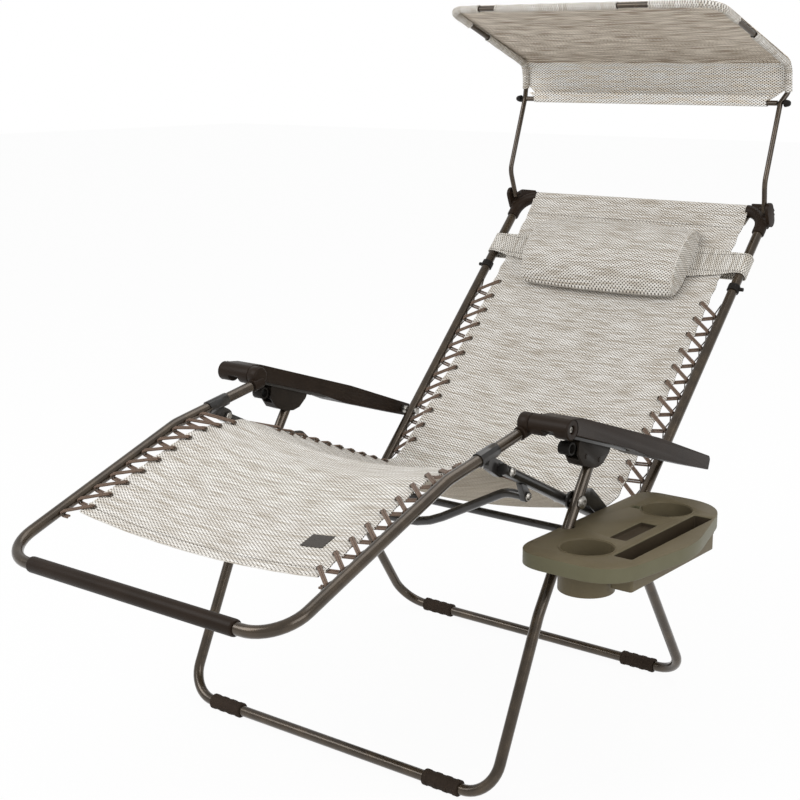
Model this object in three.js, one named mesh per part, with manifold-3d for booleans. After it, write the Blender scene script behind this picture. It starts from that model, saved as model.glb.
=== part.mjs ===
// Reclining sun lounger with a tilting canopy and a side tray.
// Millimetres, +Z up, the sitter faces -Y, the tray is on the sitter's left (+X).
import * as THREE from 'three';
import { mergeVertices } from 'three/addons/utils/BufferGeometryUtils.js';
import Module from 'manifold-3d';

const wasm = await Module();
wasm.setup();

// Clearances and facets
const touchGap = 0.3;
const runningGap = 0.8;
const overrun = 4;
const tubeSides = 10;
const turnedSides = 12;
const thinTubeSides = 8;
const arcStep = Math.PI / 8;

// Tubes side by side: frames inside, seat rails next, legs outside with a plate's room between
const frameTube = 20;
const frameHalfWidth = 309;
const railStandoff = 2;
const legStandoff = 6;
const railHalfWidth = frameHalfWidth + frameTube + railStandoff;
const legHalfWidth = railHalfWidth + frameTube + legStandoff;

// Main pivot and seat rails
const pivotOffset = -166;
const pivotHeight = 476;
const railSlope = 26.5;
const railFront = 200;
const railRear = 300;
const railEnd = 13;

// Front legs
const frontLegSlope = 56.9;
const frontLegTop = 66;
const frontLegInset = 18;
const frontLegBend = 210;
const frontFootSlope = 64.8;
const floorBarHeight = 13;
const floorCornerRadius = 60;
const legBendRadius = 80;

// Rear legs and their pivot plates
const rearFloorOffset = 264;
const rearLegSlope = 56.4;
const rearBendDrop = 126;
const rearBendHeight = pivotHeight - rearBendDrop;
const rearTopSlope = 39.8;
const rearTopRun = 39;
const rearBendRadius = 50;
const pivotPlateThickness = 4.2;
const pivotPlateWidth = 30;
const pivotPlateEye = 16;
const pivotElbowRun = 63;
const pivotElbowDrop = 7;
const plateRivet = 8;
const plateRivetHead = 13;
const plateRivetHeadHeight = 2;

// Ribbed floor sleeves
const sleeveInset = 101;
const sleeveOffset = legHalfWidth - sleeveInset;
const sleeveLength = 75;
const sleeveDiameter = 29;
const sleeveGroove = 0.9;
const sleeveRibs = 4;

// Bolts
const mainBolt = 10;
const mainBoltHead = 24;
const mainBoltHeadHeight = 6;
const mainNut = 18;
const mainNutHeight = 8;
const hingeBolt = 8;
const hingeBoltHead = 15;
const hingeBoltHeadHeight = 5;
const hingeNutHeight = 6;

// Curved stretcher below the seat
const stretcherTube = 16;
const stretcherRun = 124;
const stretcherDrop = 34;
const stretcherDip = 90;
const stretcherShoulderInset = 39;
const stretcherShoulder = railHalfWidth - stretcherShoulderInset;
const stretcherFloor = 120;
const stretcherShoulderRadius = 60;
const stretcherFloorRadius = 180;
const lugThickness = 12;
const lugEye = 10;
const lugRoot = 11;
const lugAlong = 148.5;

// Leg rest
const legRestSlope = 19.9;
const legRestLength = 425.5;
const kneeBendRun = 135;
const kneeBendRise = 9.8;
const kneeSlope = 10.2;
const kneeTubeLength = 222;
const kneeBendRadius = 90;
const footCornerRadius = 70;
const gripDiameter = 27;
const gripInset = 10;
const gripHalfLength = frameHalfWidth - footCornerRadius - gripInset;
const gripChamfer = 3;

// Saddle brackets at the knee
const saddleStart = 84;
const saddleEnd = 134;
const saddleLugAlong = 108;
const saddleWall = 1.7;
const kneeLugThickness = 11.5;
const kneeLugRoot = 12;
const kneeLugEye = 13;
const kneeLugDrop = 14;

// Arms: pivot at the leg rest, pin at the back
const armPivotRun = 87;
const armPivotRise = 62.8;
const barrelDiameter = 36;
const barrelStandoff = 14;
const barrelStart = frameHalfWidth + barrelStandoff;
const armStandoff = 3;
const armWidth = 66;
const armInner = railHalfWidth + armStandoff;
const armOuter = armInner + armWidth;
const armTop = 24;
const armRearTop = 14;
const armBottomFront = 8;
const armBottomMiddle = 15;
const armBottomRear = 13;
const armTail = 28;
const armTailEase = 6;
const armRoof = 3;
const armTopFrontShare = 0.06;
const armTopRearShare = 0.62;
const armBottomFrontShare = 0.44;
const armBottomRearShare = 0.6;
const armPivotPin = 16;
const armPivotPinDepth = 12;
const armPivotPinReach = armInner + armPivotPinDepth;
const armScrew = 6;
const armScrewHead = 13;
const armScrewHeadHeight = 3;
const armScrewRecess = 4;
const barrelNotchInset = 16;
const barrelNotchWidth = 24;
const barrelNotchHeight = 9;
const capThickness = 22;
const capSocketLength = 14;
const capSocketDiameter = 25.4;
const capSocketReach = 10;

// Channel under the arm and its steel liner
const channelInset = 4.5;
const channelWidth = 37;
const channelInner = armInner + channelInset;
const channelOuter = channelInner + channelWidth;
const channelStart = 28;
const channelEnd = 260;
const linerWall = 1.5;
const linerLip = 5;
const linerEnd = 242;

// Rear pin of the arm, on the back tube
const rearPin = 8;
const rearPinPlay = 2.5;
const rearPinDepth = 16;
const rearPinReach = armInner + rearPinDepth;
const rearPinCollar = 16;

// Lock housing on top of each front leg, with its lever
const housingWidth = 30;
const housingInner = legHalfWidth - housingWidth / 2;
const housingOuter = legHalfWidth + housingWidth / 2;
const housingLength = 108;
const housingHeight = 63;
const housingFront = 58;
const housingBelow = 1;
const housingOutlineShares = [
  [0.07, 1], [1, 0.43], [0.96, 0.3], [0.78, 0.06], [0.61, 0], [0.42, 0.05], [0.15, 0.22], [0, 0.57], [0.01, 0.9],
];
const housingRivet = 9;
const housingRivetHeight = 1.2;
const housingRivetShares = [[0.24, 0.45], [0.65, 0.21]];
const leverPivotShares = [0.16, 0.55];
const leverKnuckle = 11;
const leverKnuckleLength = 20;
const leverPin = 4;
const leverPinLength = 26.6;
const leverReach = 35;
const leverAngle = 156;
const leverTravel = 35;
const leverThickness = 9;
const leverWidth = 10;
const ringOutside = 24;
const ringInside = 17;
const ringLength = 22;
const notchReach = 34;

// Slings
const slingThickness = 3;
const slingInset = 39;
const slingHalfWidth = frameHalfWidth - slingInset;
const legSlingGap = 143;
const slingColumns = 8;
const slingRun = 60;
const legSlingSag = 34;
const seatSlingSag = 58;
const seatTieShares = [0.2, 0.3, 0.52, 0.68];
const backSlingSag = 30;
const legSeamGap = 12;
const seatSeamGap = 3;
const backSeamGap = 12;
const backSeamAlong = 36;
const backSeamRise = 18;
const backSlingFlat = 300;

// Laces
const laceDiameter = 4;
const laceSides = 5;
const laceHoldShare = 0.3;
const legLaces = 9;
const backLaces = 12;
const legLaceStart = 14;
const legLaceEnd = 22;
const backLaceShort = 248;
const lacesBelowPin = 2;

// Label on the leg sling, left bare
const labelWidth = 45;
const labelLength = 35;
const labelThickness = 1;
const labelInset = 75;
const labelOffset = slingHalfWidth - labelInset;
const labelAlong = 79;

// Back
const backSlope = 45.8;
const backLength = 793;
const backFoot = 34;
const backCornerRadius = 45;
const backPinAlong = 180;
const crossBarAlong = 22;
const crossBarDiameter = 16;
const bracketLength = 44;
const bracketAlong = backLength - bracketLength;
const bracketDiameter = 26;
const bracketCheekStandoff = 12;
const bracketCheekStart = frameHalfWidth + bracketCheekStandoff;
const bracketCheek = 7;
const bracketCover = 10;
const canopyPivotInset = 11;
const canopyPivotAlong = backLength - canopyPivotInset;
const canopyPivotRise = 24;
const canopyPin = 6;
const bracketEye = 14;
const hookInset = 204;
const hookAlong = backLength - hookInset;
const hookWidth = 14;
const hookWall = 2.5;
const hookNub = 8;

// Pillow and its strap
const pillowHalfWidth = 190;
const pillowLength = 162;
const pillowThickness = 66;
const pillowInset = 171;
const pillowAlong = backLength - pillowInset;
const pillowColumns = 10;
const pillowRows = 10;
const pillowEdgeShare = 0.14;
const pillowEndShare = 0.82;
const pillowDrawInShare = 0.06;
const strapInset = 143;
const strapAlong = backLength - strapInset;
const strapWidth = 60;
const strapThickness = 2;
const strapBackRise = 6;

// Canopy
const canopyTube = 11;
const rodRootStandoff = 4;
const rodStandoff = 9;
const canopyStandoff = 18;
const canopyFrontStandoff = 8;
const rodRootHalfWidth = frameHalfWidth + rodRootStandoff;
const rodHalfWidth = frameHalfWidth + rodStandoff;
const canopyHalfWidth = frameHalfWidth + canopyStandoff;
const canopyFrontHalfWidth = frameHalfWidth + canopyFrontStandoff;
const rodEnd = 7;
const rodBendRun = -14.5;
const rodBendRise = 55.5;
const canopyBarRun = 41.5;
const canopyBarRise = 217.5;
const rodShoulderRun = 58.5;
const rodShoulderRise = 240.5;
const canopyFoldRun = 54.5;
const canopyFoldRise = 295.5;
const canopySlope = 20;
const canopyReach = 338;
const rodBendRadius = 45;
const rodShoulderRadius = 30;
const canopyFoldRadius = 30;
const canopyCornerRadius = 40;
const knobDiameter = 16;
const knobLength = 13;
const knobPin = 4;
const knobPinReach = 24;
const knobStandoff = 4;
const canopyClothThickness = 2;
const canopyClothSag = 4;
const canopyHem = 5;
const valanceInset = 38;
const valanceHalfWidth = canopyHalfWidth - valanceInset;
const canopyColumns = 8;
const canopyRun = 90;

// Side tray
const trayDrop = 39;
const trayShift = 33;
const trayTop = pivotHeight - trayDrop;
const trayMiddle = pivotOffset + trayShift;
const trayHalfLength = 225;
const trayInset = 8.5;
const trayInner = legHalfWidth - trayInset;
const trayNearReach = 196.5;
const trayBowReach = 228.5;
const trayFarReach = 163.5;
const trayBowShift = -7;
const trayRim = 26;
const trayWall = 3;
const trayRadii = [62, 85, 260, 100, 40];
const cupDiameter = 90;
const cupDepth = 70;
const cupInset = 94.5;
const cupSpread = 137;
const cupOffset = trayInner + cupInset;
const cupPlaces = [trayMiddle - cupSpread, trayMiddle + cupSpread];
const cupSides = 20;
const mugNotchWidth = 18;
const mugNotchReach = 15;
const mugNotchDepth = 40;
const mugNotchShift = 18;
const slotInset = 149.5;
const slotWidth = 35;
const slotShift = -5;
const slotStart = trayInner + slotInset;
const slotEnd = slotStart + slotWidth;
const slotLength = 285;
const slotMiddle = trayMiddle + slotShift;
const slotDepth = 53;
const slotRadius = 10;
const recessWidth = 33;
const recessShift = -12;
const recessStart = cupOffset;
const recessEnd = recessStart + recessWidth;
const recessLength = 110;
const recessMiddle = trayMiddle + recessShift;
const recessDepth = 8;
const collarWall = 5;

const looks = {
  bronze: { color: 0x2f2a25, roughness: 0.35, metalness: 0.75 },
  black: { color: 0x1b1a19, roughness: 0.45, metalness: 0.6 },
  steel: { color: 0x8c8a86, roughness: 0.4, metalness: 1 },
  brownPlastic: { color: 0x4f4339, roughness: 0.5, metalness: 0 },
  darkPlastic: { color: 0x38302a, roughness: 0.5, metalness: 0 },
  trayPlastic: { color: 0x6a6353, roughness: 0.55, metalness: 0 },
  rubber: { color: 0x3a2f28, roughness: 0.8, metalness: 0 },
  mesh: { color: 0xc9c2b5, roughness: 0.9, metalness: 0 },
  lace: { color: 0x4a3b30, roughness: 0.85, metalness: 0 },
  label: { color: 0x24211f, roughness: 0.9, metalness: 0 },
};

const lounger = new THREE.Group();

// Points in the side plane (y, z) and their place in space
function sidePoint(y, z) {
  return new THREE.Vector2(y, z);
}

function ahead(start, slope, length) {
  const angle = THREE.MathUtils.degToRad(slope);
  return sidePoint(start.x + length * Math.cos(angle), start.y + length * Math.sin(angle));
}

function atWidth(x, point) {
  return new THREE.Vector3(x, point.x, point.y);
}

// A sloping line in the side plane: places along it and square to it
function lineFrame(origin, slope) {
  return (along, rise = 0) => ahead(ahead(origin, slope, along), slope + 90, rise);
}

// Solids
function solid(geometry) {
  const bare = geometry.clone();
  bare.deleteAttribute('normal');
  bare.deleteAttribute('uv');
  const merged = mergeVertices(bare);
  const corners = merged.index.array;
  const kept = [];
  for (let first = 0; first < corners.length; first += 3) {
    const [a, b, c] = corners.slice(first, first + 3);
    if (a !== b && b !== c && c !== a) kept.push(a, b, c);
  }
  const vertices = new Float32Array(merged.attributes.position.array);
  if (signedVolume(vertices, kept) < 0) kept.reverse();
  const mesh = new wasm.Mesh({ numProp: 3, vertProperties: vertices, triVerts: new Uint32Array(kept) });
  return new wasm.Manifold(mesh);
}

function signedVolume(vertices, corners) {
  const [a, b, c] = [new THREE.Vector3(), new THREE.Vector3(), new THREE.Vector3()];
  let volume = 0;
  for (let first = 0; first < corners.length; first += 3) {
    a.fromArray(vertices, corners[first] * 3);
    b.fromArray(vertices, corners[first + 1] * 3);
    c.fromArray(vertices, corners[first + 2] * 3);
    volume += a.dot(b.cross(c));
  }
  return volume;
}

function join(...solids) {
  return solids.reduce((whole, piece) => whole.add(piece));
}

function cut(whole, ...cutters) {
  return cutters.reduce((rest, cutter) => rest.subtract(cutter), whole);
}

function toGeometry(manifold, mirrored = false) {
  const mesh = manifold.getMesh();
  const positions = new Float32Array(mesh.vertProperties);
  const corners = Uint32Array.from(mesh.triVerts);
  if (mirrored) {
    for (let first = 0; first < positions.length; first += 3) positions[first] *= -1;
    corners.reverse();
  }
  const geometry = new THREE.BufferGeometry();
  geometry.setAttribute('position', new THREE.BufferAttribute(positions, 3));
  geometry.setIndex(new THREE.BufferAttribute(corners, 1));
  geometry.computeVertexNormals();
  return geometry;
}

function add(name, manifold, look, mirrored = false) {
  const mesh = new THREE.Mesh(toGeometry(manifold, mirrored), new THREE.MeshStandardMaterial(look));
  mesh.name = name;
  lounger.add(mesh);
}

// The piece is built on the sitter's left (+X) and mirrored to the right
function addPair(name, manifold, look) {
  add(`${name}_left`, manifold, look);
  add(`${name}_right`, manifold, look, true);
}

function circlePoints(radius, sides, centre = new THREE.Vector2()) {
  return Array.from({ length: sides }, (_, side) => {
    const angle = (2 * Math.PI * (side + 0.5)) / sides;
    return new THREE.Vector2(centre.x + radius * Math.cos(angle), centre.y + radius * Math.sin(angle));
  });
}

// A path of straight runs and round bends, held as the stations where a section stands
function bendStations(before, corner, after, radius) {
  const arriving = corner.clone().sub(before).normalize();
  const leaving = after.clone().sub(corner).normalize();
  if (!radius) return [{ point: corner, tangent: arriving.add(leaving).normalize() }];
  const turn = arriving.angleTo(leaving);
  const inward = leaving.clone().addScaledVector(arriving, -leaving.dot(arriving)).normalize();
  const start = corner.clone().addScaledVector(arriving, -radius * Math.tan(turn / 2));
  const steps = Math.max(2, Math.ceil(turn / arcStep));
  return Array.from({ length: steps + 1 }, (_, step) => {
    const angle = (turn * step) / steps;
    const point = start.clone().addScaledVector(arriving, radius * Math.sin(angle));
    point.addScaledVector(inward, radius * (1 - Math.cos(angle)));
    const tangent = arriving.clone().multiplyScalar(Math.cos(angle)).addScaledVector(inward, Math.sin(angle));
    return { point, tangent };
  });
}

function pathStations(points, bendRadii) {
  const last = points.length - 1;
  const stations = [{ point: points[0], tangent: points[1].clone().sub(points[0]).normalize() }];
  for (let index = 1; index < last; index += 1) {
    stations.push(...bendStations(points[index - 1], points[index], points[index + 1], bendRadii[index - 1]));
  }
  stations.push({ point: points[last], tangent: points[last].clone().sub(points[last - 1]).normalize() });
  return stations;
}

function divideRuns(stations, longest) {
  return stations.flatMap((station, index) => {
    const next = stations[index + 1];
    if (!next) return [station];
    const pieces = Math.max(1, Math.round(station.point.distanceTo(next.point) / longest));
    return Array.from({ length: pieces }, (_, piece) => ({
      point: station.point.clone().lerp(next.point, piece / pieces),
      tangent: station.tangent.clone().lerp(next.tangent, piece / pieces).normalize(),
    }));
  });
}

class StationPath extends THREE.Curve {
  constructor(stations) {
    super();
    this.stations = stations;
  }

  station(share) {
    return this.stations[Math.round(share * (this.stations.length - 1))];
  }

  getPointAt(share) {
    return this.station(share).point.clone();
  }

  getTangentAt(share) {
    return this.station(share).tangent.clone();
  }
}

function tube(points, bendRadii, diameter, sides = tubeSides) {
  const stations = pathStations(points, bendRadii);
  const section = new THREE.Shape(circlePoints(diameter / 2, sides));
  const extrudePath = new StationPath(stations);
  const steps = stations.length - 1;
  return solid(new THREE.ExtrudeGeometry(section, { steps, extrudePath, bevelEnabled: false }));
}

// A tube bent alike on both sides of the middle plane, given by its left half
function mirroredPath(leftPoints) {
  const rightPoints = leftPoints.map((point) => new THREE.Vector3(-point.x, point.y, point.z));
  return [...leftPoints, ...rightPoints.reverse()];
}

// Round pieces along X, turned from a profile of [radius, x] pairs
function turned(profile, point, sides = turnedSides) {
  const outline = profile.map(([radius, x]) => new THREE.Vector2(radius, x));
  const geometry = new THREE.LatheGeometry(outline, sides);
  geometry.rotateZ(-Math.PI / 2);
  geometry.translate(0, point.x, point.y);
  return solid(geometry);
}

function rod(diameter, start, end, point, sides = turnedSides) {
  return turned([[0, start], [diameter / 2, start], [diameter / 2, end], [0, end]], point, sides);
}

// Flat pieces: an outline in the side plane with a thickness along X, or in plan with a height
function plate(outline, start, end) {
  const geometry = new THREE.ExtrudeGeometry(new THREE.Shape(outline), { depth: end - start, bevelEnabled: false });
  const sideways = new THREE.Matrix4().makeBasis(
    new THREE.Vector3(0, 1, 0),
    new THREE.Vector3(0, 0, 1),
    new THREE.Vector3(1, 0, 0),
  );
  geometry.applyMatrix4(sideways);
  geometry.translate(start, 0, 0);
  return solid(geometry);
}

function slab(outline, bottom, top) {
  const geometry = new THREE.ExtrudeGeometry(new THREE.Shape(outline), { depth: top - bottom, bevelEnabled: false });
  geometry.translate(0, 0, bottom);
  return solid(geometry);
}

// Two round eyes and the straight web between them
function link(first, firstRadius, second, secondRadius, start, end) {
  const slope = THREE.MathUtils.radToDeg(second.clone().sub(first).angle());
  const lean = THREE.MathUtils.radToDeg(Math.asin((firstRadius - secondRadius) / first.distanceTo(second)));
  const web = [
    ahead(first, slope + 90 - lean, firstRadius),
    ahead(first, slope - 90 + lean, firstRadius),
    ahead(second, slope - 90 + lean, secondRadius),
    ahead(second, slope + 90 - lean, secondRadius),
  ];
  const firstEye = rod(2 * firstRadius, start, end, first);
  const secondEye = rod(2 * secondRadius, start, end, second);
  return join(plate(web, start, end), firstEye, secondEye);
}

function roundedOutline(corners, radii) {
  const points = corners.map(([x, y]) => new THREE.Vector3(x, y, 0));
  return points.flatMap((corner, index) => {
    const before = points.at(index - 1);
    const after = points[(index + 1) % points.length];
    return bendStations(before, corner, after, radii[index]).map(({ point }) => new THREE.Vector2(point.x, point.y));
  });
}

function roundedRectangle(left, right, near, far, radius) {
  const corners = [[left, near], [right, near], [right, far], [left, far]];
  return roundedOutline(corners, corners.map(() => radius));
}

// A sheet that follows side stations: its width, offset and thickness vary along and across it.
// Its offset is square to it, or along lift where that is given.
function sheet({ stations, columns, halfWidth, offset, thickness, lift }) {
  const rows = stations.length - 1;
  const geometry = new THREE.BoxGeometry(1, 1, 1, columns, rows, 1);
  const places = geometry.attributes.position;
  for (let index = 0; index < places.count; index += 1) {
    const row = Math.round((places.getY(index) + 0.5) * rows);
    const share = row / rows;
    const across = 2 * places.getX(index);
    const { point, tangent } = stations[row];
    const up = new THREE.Vector3(0, -tangent.z, tangent.y);
    const place = point.clone().addScaledVector(lift ?? up, offset(share, across));
    place.addScaledVector(up, places.getZ(index) * thickness(share, across));
    places.setXYZ(index, halfWidth(share) * across, place.y, place.z);
  }
  return solid(geometry);
}

// Side plane skeleton
const mainPivot = sidePoint(pivotOffset, pivotHeight);
const rail = lineFrame(mainPivot, -railSlope);
const knee = rail(-railFront);
const hip = rail(railRear);
const back = lineFrame(hip, backSlope);
const armPivot = sidePoint(knee.x + armPivotRun, knee.y + armPivotRise);
const armRear = back(backPinAlong);
const armLength = armPivot.distanceTo(armRear);
const armSlope = THREE.MathUtils.radToDeg(armRear.clone().sub(armPivot).angle());
const arm = lineFrame(armPivot, armSlope);
const frontLeg = lineFrame(mainPivot, frontLegSlope);
const legTop = frontLeg(frontLegTop);
const kneeBend = sidePoint(knee.x - kneeBendRun, knee.y + kneeBendRise);
const footBar = ahead(kneeBend, legRestSlope, -legRestLength);
const legRest = lineFrame(footBar, legRestSlope);
const kneeTube = lineFrame(kneeBend, kneeSlope);

// Faces of the tubes and pieces that others stand against
const tubeRadius = frameTube / 2;
const railInnerFace = railHalfWidth - tubeRadius;
const railOuterFace = railHalfWidth + tubeRadius;
const frameInnerFace = frameHalfWidth - tubeRadius;
const frameOuterFace = frameHalfWidth + tubeRadius;
const legInnerFace = legHalfWidth - tubeRadius;
const legOuterFace = legHalfWidth + tubeRadius;
const plateOuterFace = legInnerFace - touchGap;
const plateInnerFace = plateOuterFace - pivotPlateThickness;

function boreFor(diameter) {
  return (diameter + 2 * touchGap) / Math.cos(Math.PI / turnedSides);
}

function bore(diameter, start, end, point) {
  return rod(boreFor(diameter), start, end, point);
}

// Front legs, from the lock housing down to the floor and across
function frontLegFrame() {
  const bend = frontLeg(-frontLegBend);
  const floorRun = (bend.y - floorBarHeight) / Math.sin(THREE.MathUtils.degToRad(frontFootSlope));
  const floor = ahead(bend, frontFootSlope, -floorRun);
  const top = frontLeg(frontLegTop + frontLegInset);
  const leftHalf = [top, bend, floor].map((point) => atWidth(legHalfWidth, point));
  const radii = [legBendRadius, floorCornerRadius, floorCornerRadius, legBendRadius];
  const frame = tube(mirroredPath(leftHalf), radii, frameTube);
  const pivotBore = bore(mainBolt, legInnerFace - overrun, legOuterFace + overrun, mainPivot);
  const oppositeBore = bore(mainBolt, -legOuterFace - overrun, -legInnerFace + overrun, mainPivot);
  add('front_leg_frame', cut(frame, pivotBore, oppositeBore), looks.bronze);
  addPair('front_foot_sleeve', floorSleeve(floor), looks.rubber);
}

// Rear legs, with a flat plate on each upper end that reaches the main pivot
const rearBend = sidePoint(
  rearFloorOffset - (rearBendHeight - floorBarHeight) / Math.tan(THREE.MathUtils.degToRad(rearLegSlope)),
  rearBendHeight,
);
const rearTop = ahead(rearBend, -rearTopSlope, -rearTopRun);
const rearRivetPlace = ahead(rearBend, -rearTopSlope, -rearTopRun / 2);

function rearLegFrame() {
  const floor = sidePoint(rearFloorOffset, floorBarHeight);
  const leftHalf = [rearTop, rearBend, floor].map((point) => atWidth(legHalfWidth, point));
  const radii = [rearBendRadius, floorCornerRadius, floorCornerRadius, rearBendRadius];
  const frame = tube(mirroredPath(leftHalf), radii, frameTube);
  const leftBore = bore(plateRivet, legInnerFace - overrun, legOuterFace + overrun, rearRivetPlace);
  const rightBore = bore(plateRivet, -legOuterFace - overrun, -legInnerFace + overrun, rearRivetPlace);
  add('rear_leg_frame', cut(frame, leftBore, rightBore), looks.bronze);
  addPair('rear_foot_sleeve', floorSleeve(floor), looks.rubber);
}

function rearPivotPlate() {
  const elbow = sidePoint(mainPivot.x + pivotElbowRun, mainPivot.y - pivotElbowDrop);
  const halfWidth = pivotPlateWidth / 2;
  const arm1 = link(mainPivot, pivotPlateEye, elbow, halfWidth, plateInnerFace, plateOuterFace);
  const arm2 = link(elbow, halfWidth, rearRivetPlace, tubeRadius, plateInnerFace, plateOuterFace);
  const headFace = legOuterFace + touchGap;
  const shank = rod(plateRivet, plateInnerFace, headFace, rearRivetPlace);
  const head = rod(plateRivetHead, headFace, headFace + plateRivetHeadHeight, rearRivetPlace);
  const pivotBore = bore(mainBolt, plateInnerFace - overrun, plateOuterFace + overrun, mainPivot);
  addPair('rear_pivot_plate', join(cut(join(arm1, arm2), pivotBore), shank, head), looks.black);
}

// Rubber sleeve round a floor bar, with ribs, flat where it stands
function floorSleeve(point) {
  const start = sleeveOffset - sleeveLength / 2;
  const ribPitch = sleeveLength / (2 * sleeveRibs - 1);
  const outer = sleeveDiameter / 2;
  const profile = [[boreFor(frameTube) / 2, start]];
  for (let band = 0; band < 2 * sleeveRibs - 1; band += 1) {
    const radius = band % 2 ? outer - sleeveGroove : outer;
    profile.push([radius, start + band * ribPitch], [radius, start + (band + 1) * ribPitch]);
  }
  profile.push([boreFor(frameTube) / 2, start + sleeveLength]);
  profile.push(profile[0]);
  const below = [[-1, -1], [1, -1], [1, 0], [-1, 0]].map(
    ([y, z]) => sidePoint(point.x + y * sleeveDiameter, z * sleeveDiameter),
  );
  return cut(turned(profile, point), plate(below, start - overrun, start + sleeveLength + overrun));
}

// Bolt along X: nut inside, head outside
function crossBolt(shank, nut, nutHeight, head, headHeight, nutFace, headFace, point) {
  const headEdge = headHeight / 3;
  return turned([
    [0, nutFace - nutHeight],
    [nut / 2, nutFace - nutHeight],
    [nut / 2, nutFace],
    [shank / 2, nutFace],
    [shank / 2, headFace],
    [head / 2, headFace],
    [head / 2, headFace + headEdge],
    [head / 3, headFace + headHeight],
    [0, headFace + headHeight],
  ], point);
}

function hingeBoltAt(nutFace, headFace, point) {
  const nut = hingeBoltHead;
  return crossBolt(hingeBolt, nut, hingeNutHeight, hingeBoltHead, hingeBoltHeadHeight, nutFace, headFace, point);
}

function mainPivotBolt() {
  const nutFace = railInnerFace - touchGap;
  const headFace = legOuterFace + touchGap;
  const bolt = crossBolt(
    mainBolt, mainNut, mainNutHeight, mainBoltHead, mainBoltHeadHeight, nutFace, headFace, mainPivot,
  );
  addPair('main_pivot_bolt', bolt, looks.steel);
}

// Lock housing: places inside it are shares of its length and height
function housingPoint([lengthShare, heightShare]) {
  return sidePoint(
    legTop.x - housingFront + lengthShare * housingLength,
    legTop.y - housingBelow + heightShare * housingHeight,
  );
}

const leverPivot = housingPoint(leverPivotShares);

function lockHousing() {
  const shell = plate(housingOutlineShares.map(housingPoint), housingInner, housingOuter);
  const rivets = housingRivetShares.map((share) => (
    rod(housingRivet, housingOuter - touchGap, housingOuter + housingRivetHeight, housingPoint(share))
  ));
  const below = atWidth(legHalfWidth, frontLeg(0));
  const above = atWidth(legHalfWidth, frontLeg(frontLegTop + frontLegInset + touchGap));
  const socket = tube([below, above], [], boreFor(frameTube));
  const notch = [
    ahead(leverPivot, 90, leverKnuckle / 2 + runningGap),
    ahead(leverPivot, leverAngle - leverTravel / 2, notchReach),
    ahead(leverPivot, leverAngle + 1.5 * leverTravel, notchReach),
    ahead(leverPivot, 270, leverKnuckle / 2 + runningGap),
  ];
  const notchHalf = leverKnuckleLength / 2 + runningGap;
  const knuckleRoom = rod(
    leverKnuckle + 2 * runningGap, legHalfWidth - notchHalf, legHalfWidth + notchHalf, leverPivot,
  );
  const pinHalf = leverPinLength / 2 + touchGap;
  const pinBore = bore(leverPin, legHalfWidth - pinHalf, legHalfWidth + pinHalf, leverPivot);
  const opening = plate(notch, legHalfWidth - notchHalf, legHalfWidth + notchHalf);
  const housing = cut(join(shell, ...rivets), socket, opening, knuckleRoom, pinBore);
  addPair('lock_housing', housing, looks.darkPlastic);
}

function lockLever() {
  const ringCentre = ahead(leverPivot, leverAngle, leverReach);
  const half = leverKnuckleLength / 2;
  const knuckle = rod(leverKnuckle, legHalfWidth - half, legHalfWidth + half, leverPivot);
  const pin = rod(leverPin, legHalfWidth - leverPinLength / 2, legHalfWidth + leverPinLength / 2, leverPivot);
  const web = link(
    leverPivot, leverThickness / 2, ringCentre, leverThickness / 2,
    legHalfWidth - leverWidth / 2, legHalfWidth + leverWidth / 2,
  );
  const ringHalf = ringLength / 2;
  const ring = rod(ringOutside, legHalfWidth - ringHalf, legHalfWidth + ringHalf, ringCentre);
  const hole = rod(ringInside, legHalfWidth - ringLength, legHalfWidth + ringLength, ringCentre);
  addPair('lock_lever', cut(join(knuckle, pin, web, ring), hole), looks.darkPlastic);
}

// Seat rails with their welded lugs, and the stretcher that hangs from the lugs
const lugRootPlace = rail(-lugAlong);
const stretcherPlace = sidePoint(mainPivot.x - stretcherRun, mainPivot.y + stretcherDrop);

function seatRail() {
  const ends = [rail(-railFront - railEnd), rail(railRear + railEnd)].map((point) => atWidth(railHalfWidth, point));
  const lugStart = railHalfWidth - lugThickness / 2;
  const lugEnd = railHalfWidth + lugThickness / 2;
  const lug = link(lugRootPlace, lugRoot, stretcherPlace, lugEye, lugStart, lugEnd);
  const start = railInnerFace - overrun;
  const end = railOuterFace + overrun;
  const bores = [
    bore(hingeBolt, start, end, knee),
    bore(mainBolt, start, end, mainPivot),
    bore(hingeBolt, start, end, hip),
    bore(hingeBolt, start, end, stretcherPlace),
  ];
  addPair('seat_rail', cut(join(tube(ends, [], frameTube), lug), ...bores), looks.black);
}

function curvedStretcher() {
  const end = railHalfWidth - lugThickness / 2 - touchGap;
  const low = sidePoint(stretcherPlace.x, stretcherPlace.y - stretcherDip);
  const leftHalf = [
    atWidth(end, stretcherPlace),
    atWidth(stretcherShoulder, stretcherPlace),
    atWidth(stretcherFloor, low),
  ];
  const radii = [stretcherShoulderRadius, stretcherFloorRadius, stretcherFloorRadius, stretcherShoulderRadius];
  const bar = tube(mirroredPath(leftHalf), radii, stretcherTube);
  const boreEnd = end - hingeBoltHead;
  const leftBore = bore(hingeBolt, boreEnd, end + overrun, stretcherPlace);
  const rightBore = bore(hingeBolt, -end - overrun, -boreEnd, stretcherPlace);
  add('curved_stretcher', cut(bar, leftBore, rightBore), looks.black);
  const headFace = railHalfWidth + lugThickness / 2 + touchGap;
  const shank = rod(hingeBolt, boreEnd + touchGap, headFace, stretcherPlace);
  const head = rod(hingeBoltHead, headFace, headFace + hingeBoltHeadHeight, stretcherPlace);
  addPair('stretcher_bolt', join(shank, head), looks.steel);
}

const kneeLugInnerFace = railInnerFace - touchGap - kneeLugThickness;

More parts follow.
